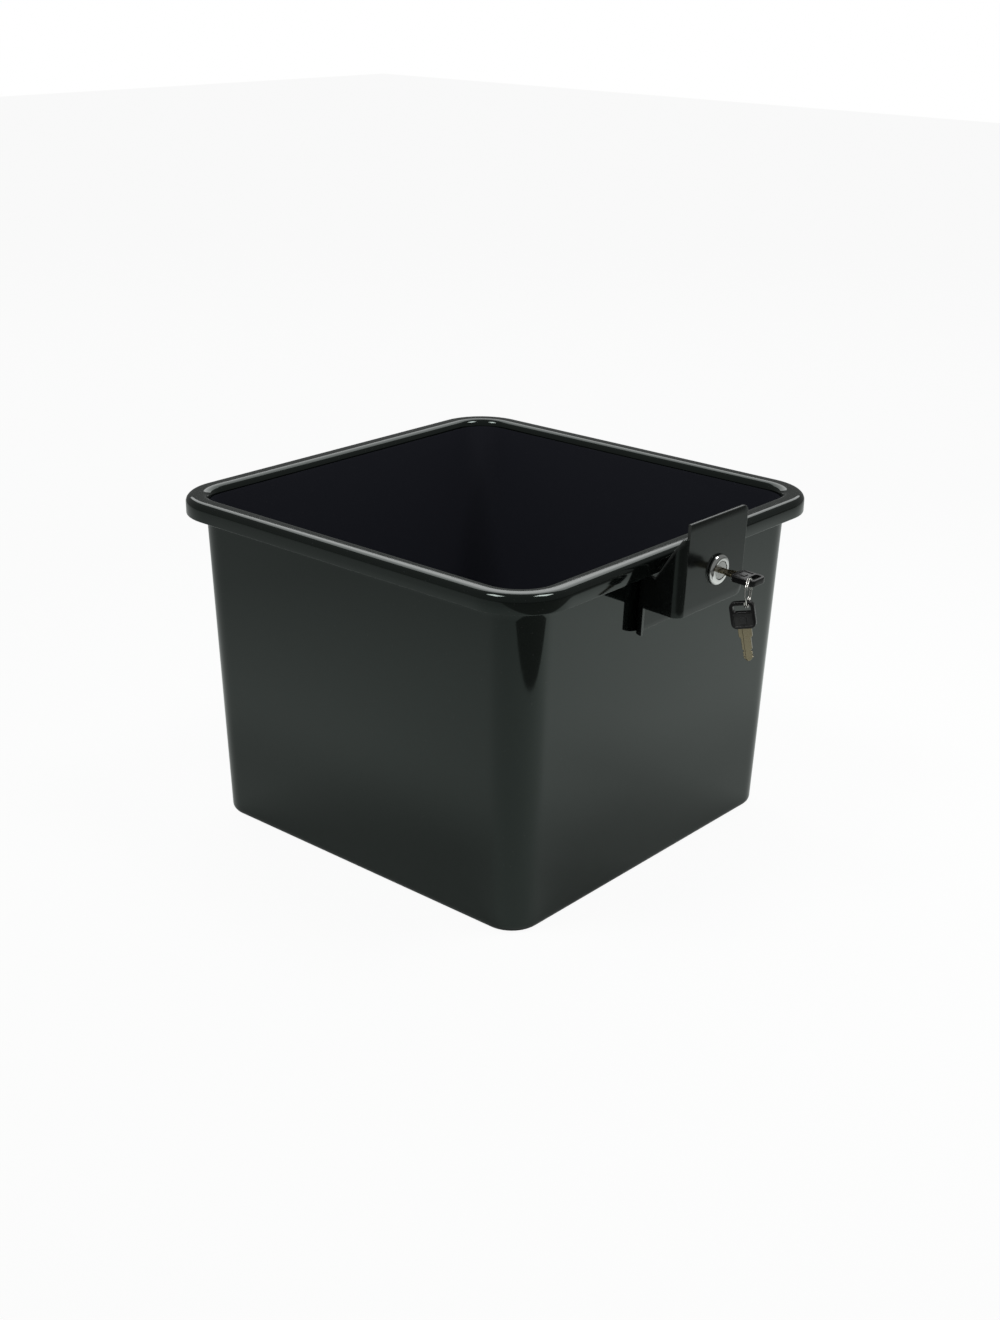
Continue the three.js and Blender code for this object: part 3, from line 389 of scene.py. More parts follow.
def finish(name, color, roughness, metallic=0.0, scale=1.0, dust=0.0, wipes=0.0, broad=0.0, bump=0.0,
           worn=None, specular=0.5, tint=(1, 1, 1)):
    """A Principled finish in that colour, whose roughness rises with dust, wipes and broad unevenness.

    Worn is the colour that edges rub towards, in patches, where a piece has its edges marked.
    """
    material = bpy.data.materials.new(name)
    material.use_nodes = True
    nodes, links = material.node_tree.nodes, material.node_tree.links
    shader = nodes["Principled BSDF"]
    shader.inputs["Metallic"].default_value = metallic
    place = nodes.new("ShaderNodeTexCoord")
    marks = nodes.new("ShaderNodeGroup")
    marks.node_tree = handled
    marks.inputs["Scale"].default_value = scale
    links.new(place.outputs["Object"], marks.inputs["Vector"])
    total = None
    for socket, weight in (("Dust", dust), ("Wipes", wipes), ("Broad", broad)):
        part = nodes.new("ShaderNodeMath")
        part.operation = "MULTIPLY_ADD"
        part.inputs[1].default_value = weight
        links.new(marks.outputs[socket], part.inputs[0])
        if total is None:
            part.inputs[2].default_value = roughness
        else:
            links.new(total, part.inputs[2])
        total = part.outputs[0]
    links.new(total, shader.inputs["Roughness"])
    dusted = nodes.new("ShaderNodeMix")
    dusted.data_type = "RGBA"
    dusted.inputs["A"].default_value = (*color, 1)
    dusted.inputs["B"].default_value = (*[0.75 * part + 0.05 for part in color], 1)
    links.new(marks.outputs["Dust"], dusted.inputs["Factor"])
    shade = dusted.outputs["Result"]
    if worn:
        edge = nodes.new("ShaderNodeAttribute")
        edge.attribute_name = "edge"
        rub = nodes.new("ShaderNodeMath")
        rub.operation = "MULTIPLY"
        links.new(edge.outputs["Fac"], rub.inputs[0])
        links.new(marks.outputs["Broad"], rub.inputs[1])
        rubbed = nodes.new("ShaderNodeMix")
        rubbed.data_type = "RGBA"
        rubbed.inputs["B"].default_value = (*worn, 1)
        links.new(rub.outputs[0], rubbed.inputs["Factor"])
        links.new(shade, rubbed.inputs["A"])
        shade = rubbed.outputs["Result"]
    links.new(shade, shader.inputs["Base Color"])
    shader.inputs["Specular IOR Level"].default_value = specular
    shader.inputs["Specular Tint"].default_value = (*tint, 1)
    if bump:
        lift = nodes.new("ShaderNodeBump")
        lift.inputs["Strength"].default_value = 1.0
        lift.inputs["Distance"].default_value = bump
        links.new(marks.outputs["Broad"], lift.inputs["Height"])
        links.new(lift.outputs["Normal"], shader.inputs["Normal"])
    return material


moulded_plastic = finish("gloss black moulding", (0.0032, 0.0042, 0.0038), 0.055,
                         dust=0.10, wipes=0.03, broad=0.02, bump=0.00012, tint=(0.86, 1, 0.94))
inside_plastic = finish("satin black moulding", (0.026, 0.0275, 0.037), 0.40,
                        dust=0.10, wipes=0.06, broad=0.10, bump=0.00012, specular=0.3)
tub_rows = tub_profile()
tub = ring_mesh("tub_shell", rounded_square_rings(*tub_rows.T))
tub.data.materials.append(moulded_plastic)
tub.data.materials.append(inside_plastic)
# The mouth's roll is eight rings long; all the faces after it, and the last one, are the satin inside.
rows_outside = int(np.flatnonzero(tub_rows[:, 2] >= TUB_HEIGHT - 1e-6)[-1]) + 8
faces_outside = rows_outside * (len(tub.data.vertices) // len(tub_rows))
is_inside = np.arange(len(tub.data.polygons)) >= faces_outside
is_inside[-2] = False
tub.data.polygons.foreach_set("material_index", is_inside.astype(int))
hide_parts("tub")
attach(tub, "tub_body")

# ---------- Bracket ----------
# One strip of 2.5 mm steel, cut to outline, folded twice into a C that is open on the right, and
# powder coated semi-gloss black. It is bolted to the wall through its back plate.

turn_joint = next(joint for joint in frame["joints"] if joint["name"] == "lock_turn")
outwards = Vector(turn_joint["axis"])
LOCK_PLACE = Matrix((
    Vector((1, 0, 0)), -outwards, Vector((1, 0, 0)).cross(-outwards))).transposed().to_4x4()
LOCK_PLACE.translation = Vector(turn_joint["pos_m"])


def in_lock_place(points):
    """Points given across, inwards and up from the lock's axis, turned and moved to where it is."""
    turn = np.array(LOCK_PLACE.to_3x3())
    return np.asarray(points) @ turn.T + np.array(LOCK_PLACE.translation)


SHEET = 0.0025
BRACKET_DEPTH = 0.038
BRACKET_LEFT, BRACKET_RIGHT = -0.0437, 0.0334
BEND = 0.007
PLATE_TOP, PLATE_BOTTOM, BACK_BOTTOM = 0.041, -0.027, -0.048
FLANGE_TOP, PLATE_CORNER = 0.031, 0.006
UNDER_SKIRT, SKIRT_REACH = -0.00155, 0.0219
EDGE_ROUND = 0.0007


def bracket_strip():
    """Sections of the folded strip, one for each step along it from the front plate's right edge.

    The path is straight, a quarter turn, straight, a quarter turn and straight. A section is a
    rectangle with rounded edges, as thick as the sheet, from the outline's lowest to its highest
    point there. The outline's right corners are quarter circles.
    """
    middle = BEND - SHEET / 2
    plate = BRACKET_RIGHT - (BRACKET_LEFT + BEND)
    flange = BRACKET_DEPTH - 2 * BEND
    arc = middle * np.pi / 2
    ends = np.cumsum([0, plate, arc, flange, arc, plate])
    close = np.concatenate([[0, 0.0003, 0.0007, 0.0012], PLATE_CORNER * (1 - np.cos(quarter(10)[3:]))])
    along = np.concatenate([
        close, np.linspace(PLATE_CORNER + 0.002, ends[1] - 0.0005, 8), np.linspace(ends[1], ends[2], 14),
        np.linspace(ends[2], ends[3], 30)[1:], np.linspace(ends[3], ends[4], 14)[1:],
        np.linspace(ends[4] + 0.001, ends[5] - PLATE_CORNER - 0.002, 8), ends[5] - close[::-1]])
    step_at = ends[1] + 1e-5
    back_at = ends[3] - 0.001
    along = np.sort(np.concatenate([along, [step_at - 2e-5, step_at, back_at - 1e-5, back_at + 1e-5]]))

    left = BRACKET_LEFT + BEND
    first = np.clip((along - ends[1]) / arc, 0, 1) * np.pi / 2
    second = np.clip((along - ends[3]) / arc, 0, 1) * np.pi / 2
    run_front = np.clip(along, 0, ends[1])
    run_side = np.clip(along - ends[2], 0, flange)
    run_back = np.clip(along - ends[4], 0, plate)
    x = BRACKET_RIGHT - run_front - middle * np.sin(first) + middle * (1 - np.cos(second)) + run_back
    y = SHEET / 2 + middle * (1 - np.cos(first)) + run_side + middle * np.sin(second)
    turn = first + second
    outward = np.stack([-np.sin(turn), -np.cos(turn)], -1)

    from_end = np.minimum(along, ends[5] - along)
    short = np.clip(PLATE_CORNER - from_end, 0, PLATE_CORNER)
    cut_off = PLATE_CORNER - np.sqrt(np.maximum(PLATE_CORNER ** 2 - short ** 2, 0))
    slope = (UNDER_SKIRT - FLANGE_TOP) / (SKIRT_REACH - SHEET)
    falling = np.clip(FLANGE_TOP + slope * (y - SHEET), UNDER_SKIRT, FLANGE_TOP)
    top = np.where(along < step_at, PLATE_TOP, falling)
    low = np.where(along < back_at, PLATE_BOTTOM, BACK_BOTTOM)
    top = top - cut_off
    low = low + cut_off

    thin = np.clip(EDGE_ROUND - from_end, 0, EDGE_ROUND)
    half_thick = SHEET / 2 - (EDGE_ROUND - np.sqrt(np.maximum(EDGE_ROUND ** 2 - thin ** 2, 0)))
    bend = quarter(4)
    ease_out, ease_up = EDGE_ROUND * (1 - np.sin(bend)), EDGE_ROUND * (1 - np.cos(bend))
    shares = np.linspace(0, 1, 12)
    offset_out, offset_up, anchor = [], [], []
    # Bottom outer edge, up the outside, top edge, down the inside, bottom inner edge.
    for side, ends_up in ((1, False), (1, True), (-1, True), (-1, False)):
        order = slice(None) if (side == 1) != ends_up else slice(None, None, -1)
        offset_out.append(side * (1 - ease_out / (SHEET / 2))[order])
        offset_up.append((ease_up if not ends_up else -ease_up)[order])
        anchor.append(np.full(len(bend), 1.0 if ends_up else 0.0))
        if (side == 1) != ends_up:
            inner_shares = shares[1:-1] if side == 1 else shares[1:-1][::-1]
            offset_out.append(np.full(len(inner_shares), float(side)))
            offset_up.append(np.zeros(len(inner_shares)))
            anchor.append(inner_shares)
    offset_out, offset_up, anchor = map(np.concatenate, (offset_out, offset_up, anchor))
    height = low[:, None] + (top - low)[:, None] * anchor[None, :] + offset_up[None, :]
    sideways = half_thick[:, None] * offset_out[None, :]
    points_x = x[:, None] + outward[:, :1] * sideways
    points_y = y[:, None] + outward[:, 1:] * sideways
    return np.stack([points_x, points_y, height], -1)


powder_coat = finish("semi-gloss black powder coat", (0.004, 0.0045, 0.0044), 0.16,
                     dust=0.15, wipes=0.05, broad=0.04, bump=0.00003, worn=(0.16, 0.165, 0.16),
                     specular=0.36, tint=(0.86, 1, 0.94))
bracket = ring_mesh("lock_bracket_sheet", in_lock_place(bracket_strip()))
bracket.data.materials.append(powder_coat)
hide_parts("lock_bracket")
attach(bracket, "tub_body")

# ---------- Bracket bolts ----------
# Two M5 pan-head screws put in from inside the tub, each with a washer under its head, and a
# washer and a nut on the bracket's back plate. Zinc-plated steel.

BOLT_XS = {"left": -0.022, "right": 0.018}
BOLT_DROP = -0.028
BOLT_RADIUS, BOLT_HEAD_RADIUS, BOLT_HEAD_HEIGHT = 0.0025, 0.00525, 0.0028
NUT_FLATS, NUT_HEIGHT, BOLT_TAIL = 0.008, 0.004, 0.0014
WASHER_RADIUS, WASHER_THICKNESS = 0.00625, 0.001
SEAT_GAP = 0.0003
WALL_FROM_PLATE = BRACKET_DEPTH + SEAT_GAP


def full_turn(*between):
    """Ninety-six even turns round a circle, and the given ones repeated in all four quarters."""
    extra = np.array([sign * angle + half for angle in between for sign in (1, -1) for half in (0, np.pi)])
    even = np.linspace(0, 2 * np.pi, 96, endpoint=False)
    return np.unique(np.concatenate([even, extra % (2 * np.pi)]).round(9))


def spun(rows, turns, x=0.0, z=0.0):
    """Rings about an axis that runs inwards at x, z: for each row of radius and y, one point a turn.

    A point is the radius times the cosine across and times the sine up. The radius may differ
    from turn to turn.
    """
    rings = [np.stack([x + radius * np.cos(turns), np.full(turns.shape, y), z + radius * np.sin(turns)], -1)
             for radius, y in rows]
    return in_lock_place(np.stack(rings))


def flats(count, across, turns, start=0.0):
    """How far a regular shape's side is at each turn.

    Half the width across the flats, over the cosine of the turn from that side's middle."""
    sector = 2 * np.pi / count
    return across / 2 / np.cos((turns - start + sector / 2) % sector - sector / 2)


def cross(reach, half, turns):
    """The outline of a cross at each turn: its arm's end or its arm's side, whichever comes first."""
    lean = np.abs((turns + np.pi / 4) % (np.pi / 2) - np.pi / 4)
    return np.where(lean < np.arctan2(half, reach), reach / np.cos(lean),
                    half / np.sin(np.maximum(lean, 0.01)))


def nut_rows(across, hole, near, far, turns):
    """Rows of a hexagon nut whose corners are turned off at thirty degrees, with a countersunk hole."""
    hexagon = flats(6, across, turns)
    height, lead = far - near, 0.00035
    down = np.linspace(0, 0.18, 6)
    cone = across * 0.475 + np.tan(np.radians(60)) * down * height
    outside = [(np.minimum(hexagon, radius), near + share * height) for radius, share in zip(cone, down)]
    mirrored = [(radius, near + far - y) for radius, y in outside[::-1]]
    return [(hole, near + lead), (hole + lead, near), *outside, *mirrored,
            (hole + lead, far), (hole, far - lead)]


def washer_rows(outer, hole, near, far, soft=0.00015):
    """Rows of a flat ring with both outer edges and both hole edges eased."""
    return [(hole, near + soft), (hole + soft, near), (outer - soft, near), (outer, near + soft),
            (outer, far - soft), (outer - soft, far), (hole + soft, far), (hole, far - soft)]


def screw_rows(shank, tip, seat, head, end, recess, slot, depth, turns):
    """Rows of a pan-head screw from its tip, up the shank, over the head and down into the cross."""
    bend = quarter(8)
    crown = [(head * (0.55 + 0.45 * np.cos(t)), seat + (end - seat) * (0.28 + 0.72 * np.sin(t)))
             for t in bend]
    star = cross(recess, slot, turns)
    return [(shank * 0.1, tip), (shank * 0.8, tip), (shank, tip + 0.2 * shank),
            (shank, seat - 0.00002), (shank + 0.0001, seat),
            (head - 0.0001, seat), (head, seat + 0.0001), *crown,
            (star + 0.0001, end - 0.00001), (star, end - 0.0001),
            (star * 0.82, end - depth), (star * 0.1, end - depth)]


def threaded(rows, start, stop, radius, pitch, turns):
    """The rows with a thread cut into the shank: a ridge whose phase runs once round for each pitch."""
    y = np.arange(start, stop, pitch / 6)
    ridges = [(radius - 0.12 * pitch * (1 + np.cos(2 * np.pi * here / pitch - turns)), here) for here in y]
    return rows[:3] + ridges + rows[3:]


zinc_plate = finish("zinc plated steel", (0.55, 0.56, 0.55), 0.24, 1.0,
                    scale=4, dust=0.1, wipes=0.14, broad=0.10)


def fixed_piece(name, rings, closed, material, body):
    """Makes the mesh of that CAD node's piece, puts its finish on it and lets it ride the body."""
    piece = ring_mesh(name + "_piece", rings, closed)
    piece.data.materials.append(material)
    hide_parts(name)
    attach(piece, body)
    return piece


outer_washer = BRACKET_DEPTH - SHEET - SEAT_GAP - WASHER_THICKNESS
nut_far = outer_washer - SEAT_GAP
nut_near = nut_far - NUT_HEIGHT
inner_washer = WALL_FROM_PLATE + WALL + SEAT_GAP
head_seat = inner_washer + WASHER_THICKNESS + SEAT_GAP
cross_turns = full_turn(math.atan2(0.55, 2.2), math.pi / 2 - math.atan2(0.55, 2.2))
even_turns = full_turn()
bolt_rows = screw_rows(BOLT_RADIUS, nut_near - BOLT_TAIL, head_seat, BOLT_HEAD_RADIUS,
                       head_seat + BOLT_HEAD_HEIGHT, 0.0022, 0.00055, 0.0015, cross_turns)
bolt_rows = threaded(bolt_rows, nut_near - BOLT_TAIL + 0.0006, nut_far, BOLT_RADIUS, 0.0008, cross_turns)
hole_radius = BOLT_RADIUS + SEAT_GAP
for side, bolt_x in BOLT_XS.items():
    for name, rows, turns, closed in (
            ("bracket_bolt", bolt_rows, cross_turns, False),
            ("bolt_inner_washer",
             washer_rows(WASHER_RADIUS, hole_radius, inner_washer, inner_washer + WASHER_THICKNESS),
             even_turns, True),
            ("bolt_outer_washer",
             washer_rows(WASHER_RADIUS, hole_radius, outer_washer, outer_washer + WASHER_THICKNESS),
             even_turns, True),
            ("bolt_nut", nut_rows(NUT_FLATS, hole_radius, nut_near, nut_far, even_turns), even_turns, True)):
        fixed_piece(f"{name}_{side}", spun(rows, turns, bolt_x, BOLT_DROP), closed,
                    zinc_plate, "tub_body")

# ---------- Lock barrel ----------
# A chrome-plated zinc barrel with a domed head and a flat on each side, pushed through the plate
# from the front. A thin washer and a hexagon nut hold it from behind.

BARREL_RADIUS, BARREL_FLATS, BARREL_LENGTH = 0.0095, 0.017, 0.0137
HEAD_RADIUS, HEAD_HEIGHT, HEAD_RIM, HEAD_FACE = 0.01125, 0.0035, 0.001, 0.008
PLUG_RADIUS, PLUG_FACE, PLUG_STEP = 0.0059, 0.0067, 0.0015
WAFER_ROOM = 0.0070

chrome = finish("bright chrome plate", (0.74, 0.74, 0.73), 0.05, 1.0,
                scale=4, dust=0.12, wipes=0.05, broad=0.03)
satin_zinc = finish("satin zinc casting", (0.50, 0.50, 0.49), 0.26, 1.0,
                    scale=4, dust=0.1, wipes=0.12, broad=0.1)

barrel_turns = full_turn(math.acos(BARREL_FLATS / 2 / BARREL_RADIUS))
barrel_outline = np.minimum(BARREL_RADIUS, BARREL_FLATS / 2 / np.maximum(np.abs(np.cos(barrel_turns)), 0.1))
dome_drop = HEAD_HEIGHT - HEAD_RIM - SEAT_GAP
dome = [(HEAD_FACE + (HEAD_RADIUS - HEAD_FACE) * math.sin(turn), -HEAD_HEIGHT + dome_drop * (1 - math.cos(turn)))
        for turn in quarter(14)]
ledge = -HEAD_HEIGHT + PLUG_STEP + 2 * SEAT_GAP
mouth, bore = PLUG_FACE + SEAT_GAP, PLUG_RADIUS + SEAT_GAP
barrel_rows = [
    (mouth, -HEAD_HEIGHT + 0.0002), (mouth + 0.0002, -HEAD_HEIGHT), (HEAD_FACE - 0.0002, -HEAD_HEIGHT), *dome,
    (HEAD_RADIUS, -SEAT_GAP - 0.00015), (HEAD_RADIUS - 0.00015, -SEAT_GAP), (barrel_outline, -SEAT_GAP),
    (barrel_outline, BARREL_LENGTH - 0.0003), (barrel_outline - 0.0003, BARREL_LENGTH), (bore, BARREL_LENGTH),
    (bore, 0.0088), (WAFER_ROOM, 0.0086), (WAFER_ROOM, -0.0004), (bore, -0.0006), (bore, ledge), (mouth, ledge)]
fixed_piece("lock_barrel", spun(barrel_rows, barrel_turns), True, chrome, "tub_body")

washer_near = SHEET + SEAT_GAP
nut_seat = washer_near + 0.001 + SEAT_GAP
barrel_hole = BARREL_RADIUS + SEAT_GAP
fixed_piece("lock_washer", spun(washer_rows(0.0125, barrel_hole, washer_near, washer_near + 0.001), even_turns),
            True, zinc_plate, "tub_body")
fixed_piece("lock_nut", spun(nut_rows(0.023, barrel_hole, nut_seat, nut_seat + 0.004, even_turns), even_turns),
            True, satin_zinc, "tub_body")

# ---------- Plug and its wafers ----------
# The die-cast plug turns in the barrel. Four sprung brass wafers stand in slots across it, and the
# square tail carries the stop washer, the cam, a spring washer and the screw that holds them.

TAIL_SQUARE = 0.007
spring_steel = finish("bare spring steel", (0.40, 0.40, 0.41), 0.26, 1.0,
                      scale=6, dust=0.05, wipes=0.1, broad=0.1)
key_brass = finish("milled brass", (0.33, 0.285, 0.19), 0.17, 1.0, scale=4, dust=0.1, wipes=0.15, broad=0.1)


def dressed(names, material):
    """Puts one finish on each CAD node of those names."""
    for name in names:
        mesh = frame["nodes"][name].data
        mesh.materials.clear()
        mesh.materials.append(material)


dressed(("lock_plug",), satin_zinc)
dressed(("stop_washer",), zinc_plate)
dressed(("spring_washer", *(f"wafer_spring_{number}" for number in range(1, 5))), spring_steel)
dressed([f"wafer_{number}" for number in range(1, 5)], key_brass)

CAM_NEAR, CAM_THICKNESS, CAM_WIDTH, CAM_REACH, CAM_CORNER = 0.0156, 0.002, 0.014, 0.021, 0.003


def cam_rings():
    """A plate's outline and its square hole, joined edge to edge on both faces.

    The outline is a half circle below and two quarter circles above. At each of its points the
    hole's point lies on the same line from the axis.
    """
    half, corner = CAM_WIDTH / 2, CAM_CORNER
    below, turn = np.linspace(np.pi, 2 * np.pi, 33), quarter(9)
    side = np.linspace(0, CAM_REACH - corner, 12)[1:-1]
    x = np.concatenate([half * np.cos(below), np.full(side.shape, half), half - corner + corner * np.cos(turn),
                        np.linspace(half - corner, corner - half, 10)[1:-1],
                        corner - half + corner * np.cos(turn + np.pi / 2), np.full(side.shape, -half)])
    z = np.concatenate([half * np.sin(below), side, CAM_REACH - corner + corner * np.sin(turn),
                        np.full(8, CAM_REACH), CAM_REACH - corner + corner * np.sin(turn + np.pi / 2), side[::-1]])
    turns, reach = np.arctan2(z, x), np.hypot(x, z)
    hole = flats(4, TAIL_SQUARE + 2 * SEAT_GAP, turns)
    soft = 0.0002
    near, far = CAM_NEAR, CAM_NEAR + CAM_THICKNESS
    rows = [(hole, near), (reach - soft, near), (reach, near + soft),
            (reach, far - soft), (reach - soft, far), (hole, far)]
    return spun(rows, turns)


fixed_piece("cam", cam_rings(), True, zinc_plate, "plug")

screw_seat = 0.0190
screw_turns = full_turn(math.atan2(0.45, 2.0), math.pi / 2 - math.atan2(0.45, 2.0))
cam_screw_rows = screw_rows(0.002, screw_seat - 0.0054, screw_seat, 0.004, screw_seat + 0.002, 0.002, 0.00045, 0.0012,
                            screw_turns)
fixed_piece("cam_screw", spun(cam_screw_rows, screw_turns), False, zinc_plate, "plug")

# ---------- Keys ----------
# Two like keys. Each has a milled brass blade with one groove down each face, and a moulded black
# bow with a slot for the ring, a raised border and a square boss in a sunk panel.

BLADE_LENGTH, BLADE_THICKNESS, BLADE_WIDTH = 0.024, 0.0018, 0.007
SHOULDER_WIDTH, SHOULDER_LENGTH, TANG_WIDTH = 0.0096, 0.0073, 0.008
POINT_LENGTH, POINT_INSET = 0.0026, 0.0025
BLADE_CUTS = (0.0009, 0.0004, 0.0011, 0.0006)
GROOVE_OFFSET, GROOVE_WIDTH, GROOVE_DEPTH = 0.0013, 0.0011, 0.0006
BOW_WIDTH, BOW_LENGTH, BOW_THICKNESS, BOW_CORNER = 0.0176, 0.0195, 0.0045, 0.004
BOW_SLOT_WIDTH, BOW_SLOT_HEIGHT, BOW_BAR, BOW_SLOT_CORNER = 0.0126, 0.0048, 0.0025, 0.0015
PANEL_WIDTH, PANEL_HEIGHT, PANEL_DEPTH, BOSS_WIDTH = 0.013, 0.0084, 0.0006, 0.0046
KEY_SHOWS = 0.0125

key_plastic = finish("black key plastic", (0.006, 0.006, 0.0065), 0.26, scale=4, dust=0.2, wipes=0.1, broad=0.08,
                     worn=(0.07, 0.07, 0.07), specular=0.2)


def blade_rings():
    """The blade's cross-section carried from the bow to the tip.

    The section is a flat bar with eased corners and a groove in each face. Its half width follows
    the tang, the shoulder, the four cuts on both edges and the pointed tip.
    """
    face = KEY_SHOWS + HEAD_HEIGHT
    steps = [(0.0, TANG_WIDTH / 2), (0.00029, TANG_WIDTH / 2), (0.0003, SHOULDER_WIDTH / 2 - 0.0003),
             (0.0006, SHOULDER_WIDTH / 2), (SHOULDER_LENGTH - 0.0012, SHOULDER_WIDTH / 2),
             (SHOULDER_LENGTH - 0.0002, BLADE_WIDTH / 2 + 0.0002), (SHOULDER_LENGTH + 0.0002, BLADE_WIDTH / 2)]
    for number, depth in enumerate(BLADE_CUTS):
        middle = face + 0.0004 + 0.0024 * number
        steps += [(middle - 0.0011, BLADE_WIDTH / 2), (middle - 0.0004, BLADE_WIDTH / 2 - depth),
                  (middle + 0.0004, BLADE_WIDTH / 2 - depth), (middle + 0.0011, BLADE_WIDTH / 2)]
    steps = [step for step in steps if step[0] < BLADE_LENGTH - POINT_LENGTH]
    steps += [(BLADE_LENGTH - POINT_LENGTH, BLADE_WIDTH / 2),
              (BLADE_LENGTH - 0.0002, BLADE_WIDTH / 2 - POINT_INSET + 0.0003),
              (BLADE_LENGTH, BLADE_WIDTH / 2 - POINT_INSET)]
    knots = np.array(steps)
    y = np.unique(np.concatenate([knots[:, 0], np.linspace(0, BLADE_LENGTH, 70)]))
    width = np.interp(y, *knots.T)
    thick, soft = BLADE_THICKNESS / 2, 0.00015
    cut = (y > 0.001) & (y < BLADE_LENGTH)
    depth = np.where(cut, GROOVE_DEPTH, 0.0)[:, None]
    near, far = GROOVE_OFFSET - GROOVE_WIDTH / 2, GROOVE_OFFSET + GROOVE_WIDTH / 2
    # One face from +x to -x, with the groove's own corners marked by ones in the second row.
    across = np.array([far, far - 0.00008, near + 0.00008, near])
    sunk = np.array([0, 1, 1, 0])
    edge = width[:, None]
    groove = np.minimum(across[None, :], edge - 2.2 * soft)
    top_x = np.concatenate([edge, edge - soft, groove, soft - edge, -edge], 1)
    ones = np.ones_like(edge)
    top_z = np.concatenate([(thick - soft) * ones, thick * ones, thick - depth * sunk[None, :], thick * ones,
                            (thick - soft) * ones], 1)
    x = np.concatenate([top_x, -top_x], 1)
    z = np.concatenate([top_z, -top_z], 1)
    return np.stack([x, np.broadcast_to(y[:, None], x.shape), z], -1)


def rounded_rectangle(half_x, half_y, radius, arc=7, side=5):
    """Points round a rectangle with quarter-circle corners, as many for every size."""
    turn, share = quarter(arc), np.linspace(0, 1, side + 2)[1:-1]
    corner = np.stack([half_x - radius + radius * np.cos(turn), half_y - radius + radius * np.sin(turn)], -1)
    top = np.stack([(half_x - radius) * (1 - 2 * share), np.full(side, half_y)], -1)
    left = np.stack([np.full(side, -half_x), (half_y - radius) * (1 - 2 * share)], -1)
    mirror_x = corner[::-1] * (-1, 1)
    half = np.concatenate([corner, top, mirror_x, left])
    return np.concatenate([half, -half])


def slab_rings(outer, inner, low, high, soft):
    """A slab with a hole: (half across, half along, radius, middle) for each, with eased edges."""
    def outline(shape, grow, height):
        half_x, half_y, radius, middle = shape
        points = rounded_rectangle(half_x + grow, half_y + grow, radius + grow) + (0, middle)
        return np.concatenate([points, np.full((len(points), 1), height)], 1)
    bend = quarter(4)
    rings = [outline(inner, soft * (1 - math.cos(t)), low + soft * (1 - math.sin(t))) for t in bend]
    rings += [outline(outer, -soft * (1 - math.sin(t)), low + soft * (1 - math.cos(t))) for t in bend]
    rings += [outline(outer, -soft * (1 - math.cos(t)), high - soft * (1 - math.sin(t))) for t in bend]
    rings += [outline(inner, soft * (1 - math.sin(t)), high - soft * (1 - math.cos(t))) for t in bend]
    return np.array(rings)


def panel_cutter(side):
    """The sunk panel round the boss, as a flared ring that reaches out past the bow's face."""
    middle = (-BOW_LENGTH + BOW_BAR + BOW_SLOT_HEIGHT) / 2
    face, floor = BOW_THICKNESS / 2, BOW_THICKNESS / 2 - PANEL_DEPTH
    levels = ((floor, 0.00010), (floor + 0.00012, 0.0), (face - 0.00008, -0.00006),
              (face, -0.00016), (face + 0.0005, -0.0006))

    def outline(half_x, half_y, radius, height):
        points = rounded_rectangle(half_x, half_y, radius) + (0, middle)
        return np.concatenate([points, np.full((len(points), 1), side * height)], 1)
    outside = [outline(PANEL_WIDTH / 2 - inset, PANEL_HEIGHT / 2 - inset, 0.0008 - min(inset, 0), height)
               for height, inset in levels]
    boss = [outline(BOSS_WIDTH / 2 + inset, BOSS_WIDTH / 2 + inset, 0.0005 + min(inset, 0) * 0.5, height)
            for height, inset in levels[::-1]]
    return np.array(outside + boss)


def key_meshes():
    """The blade's mesh, and the bow's with both panels cut into it, in the key's own frame."""
    blade = ring_mesh("blade_blank", blade_rings())
    slot_middle = -BOW_LENGTH + BOW_BAR + BOW_SLOT_HEIGHT / 2
    bow = ring_mesh("bow_blank", slab_rings(
        (BOW_WIDTH / 2, BOW_LENGTH / 2, BOW_CORNER, -BOW_LENGTH / 2),
        (BOW_SLOT_WIDTH / 2, BOW_SLOT_HEIGHT / 2, BOW_SLOT_CORNER, slot_middle),
        -BOW_THICKNESS / 2, BOW_THICKNESS / 2, 0.0005), closed=True)
    cutters = [ring_mesh("panel_cutter", panel_cutter(side), closed=True) for side in (1, -1)]
    for cutter in cutters:
        carve = bow.modifiers.new("panel", "BOOLEAN")
        carve.operation, carve.solver, carve.object = "DIFFERENCE", "EXACT", cutter
    whole = bpy.data.meshes.new_from_object(bow.evaluated_get(bpy.context.evaluated_depsgraph_get()))
    for spent in (*cutters, bow):
        bpy.data.objects.remove(spent)
    blade_only = blade.data
    bpy.data.objects.remove(blade)
    whole.set_sharp_from_angle(angle=math.radians(30))
    whole.attributes.remove(whole.attributes["edge"])
    mark_edges(whole)
    return blade_only, whole


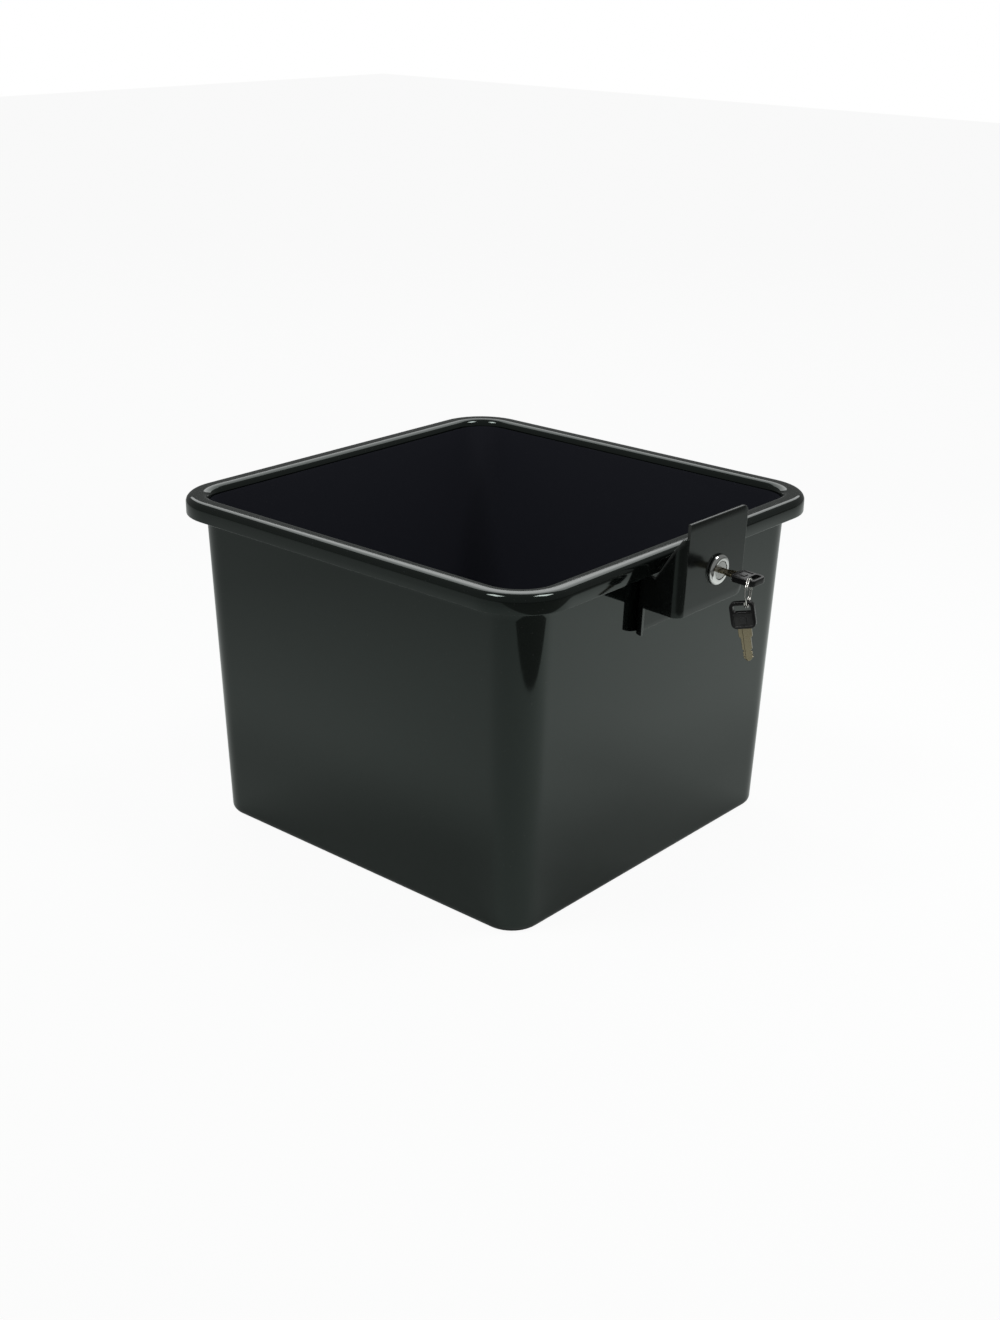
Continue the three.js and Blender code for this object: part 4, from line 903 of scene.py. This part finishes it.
blade_mesh, bow_mesh = key_meshes()
spare_swing = next(joint for joint in frame["joints"] if joint["name"] == "spare_key_swing")
RING_YAW = math.radians(23)
SPARE_LEAN = math.radians(-11)
key_in_lock = LOCK_PLACE @ Matrix.Translation((0, -HEAD_HEIGHT - KEY_SHOWS, 0))
broadside = Matrix(((0, 0, 1), (-1, 0, 0), (0, -1, 0))).to_4x4()
spare_place = (Matrix.Translation(spare_swing["pos_m"]) @ Matrix.Rotation(RING_YAW, 4, "Z") @ broadside
               @ Matrix.Rotation(SPARE_LEAN, 4, "Z") @ Matrix.Translation((-0.0036, BOW_LENGTH - BOW_BAR - 0.0013, 0)))
for name, mesh, place, body, slot, material in (
        ("key_blade", blade_mesh, key_in_lock, "key", "key_brass", key_brass),
        ("key_bow", bow_mesh, key_in_lock, "key", "key_plastic", key_plastic),
        ("spare_key_blade", blade_mesh, spare_place, "spare_key", "key_brass", key_brass),
        ("spare_key_bow", bow_mesh, spare_place, "spare_key", "key_plastic", key_plastic)):
    copy = mesh.copy()
    copy.transform(place)
    piece = bpy.data.objects.new(name + "_piece", copy)
    bpy.context.scene.collection.objects.link(piece)
    copy.materials.clear()
    copy.materials.append(material)
    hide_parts(name)
    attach(piece, body)

# ---------- Split ring ----------
# Two turns of springy nickel-plated wire side by side, through the slots of both keys.

RING_RADIUS, RING_WIRE, RING_PITCH = 0.010, 0.001, 0.0013
nickel_plate = finish("bright nickel plate", (0.62, 0.61, 0.58), 0.16, 1.0, scale=4, dust=0.1, wipes=0.1, broad=0.05)


def split_ring_rings(steps=200, sides=14):
    """A round section carried along two turns of a circle that step sideways halfway.

    The path's point is the radius times minus the cosine across, half a pitch either way along the
    axis with a smooth step, and the radius times the sine up. The section's own circle lies in the
    plane of the outward direction and the ring's axis.
    """
    step = 0.35
    turn = np.linspace(step + 0.12, 4 * np.pi - step - 0.12, steps)
    share = np.clip((turn - 2 * np.pi + step) / (2 * step), 0, 1)
    across = (share * share * (3 - 2 * share) - 0.5) * RING_PITCH
    outward = np.stack([-np.cos(turn), np.zeros(steps), np.sin(turn)], -1)
    path = RING_RADIUS * outward + across[:, None] * (0, 1, 0)
    around = np.linspace(0, 2 * np.pi, sides, endpoint=False)
    end = np.minimum(np.arange(steps), np.arange(steps)[::-1])
    wire = RING_WIRE / 2 * np.sqrt(np.clip(0.35 + 0.3 * end, 0, 1))
    section = (np.cos(around)[None, :, None] * outward[:, None, :]
               + np.sin(around)[None, :, None] * np.array((0.0, 1.0, 0.0)))
    return path[:, None, :] + wire[:, None, None] * section


ring_centre = Vector(spare_swing["pos_m"]) + Vector((0, 0, RING_RADIUS))
ring_place = Matrix.Translation(ring_centre) @ Matrix.Rotation(RING_YAW, 4, "Z")
ring_points = split_ring_rings() @ np.array(ring_place.to_3x3()).T + np.array(ring_place.translation)
fixed_piece("key_ring", ring_points, False, nickel_plate, "ring")

{"cad": cad_box, "visual": [list(map(float, corner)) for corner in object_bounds()]}
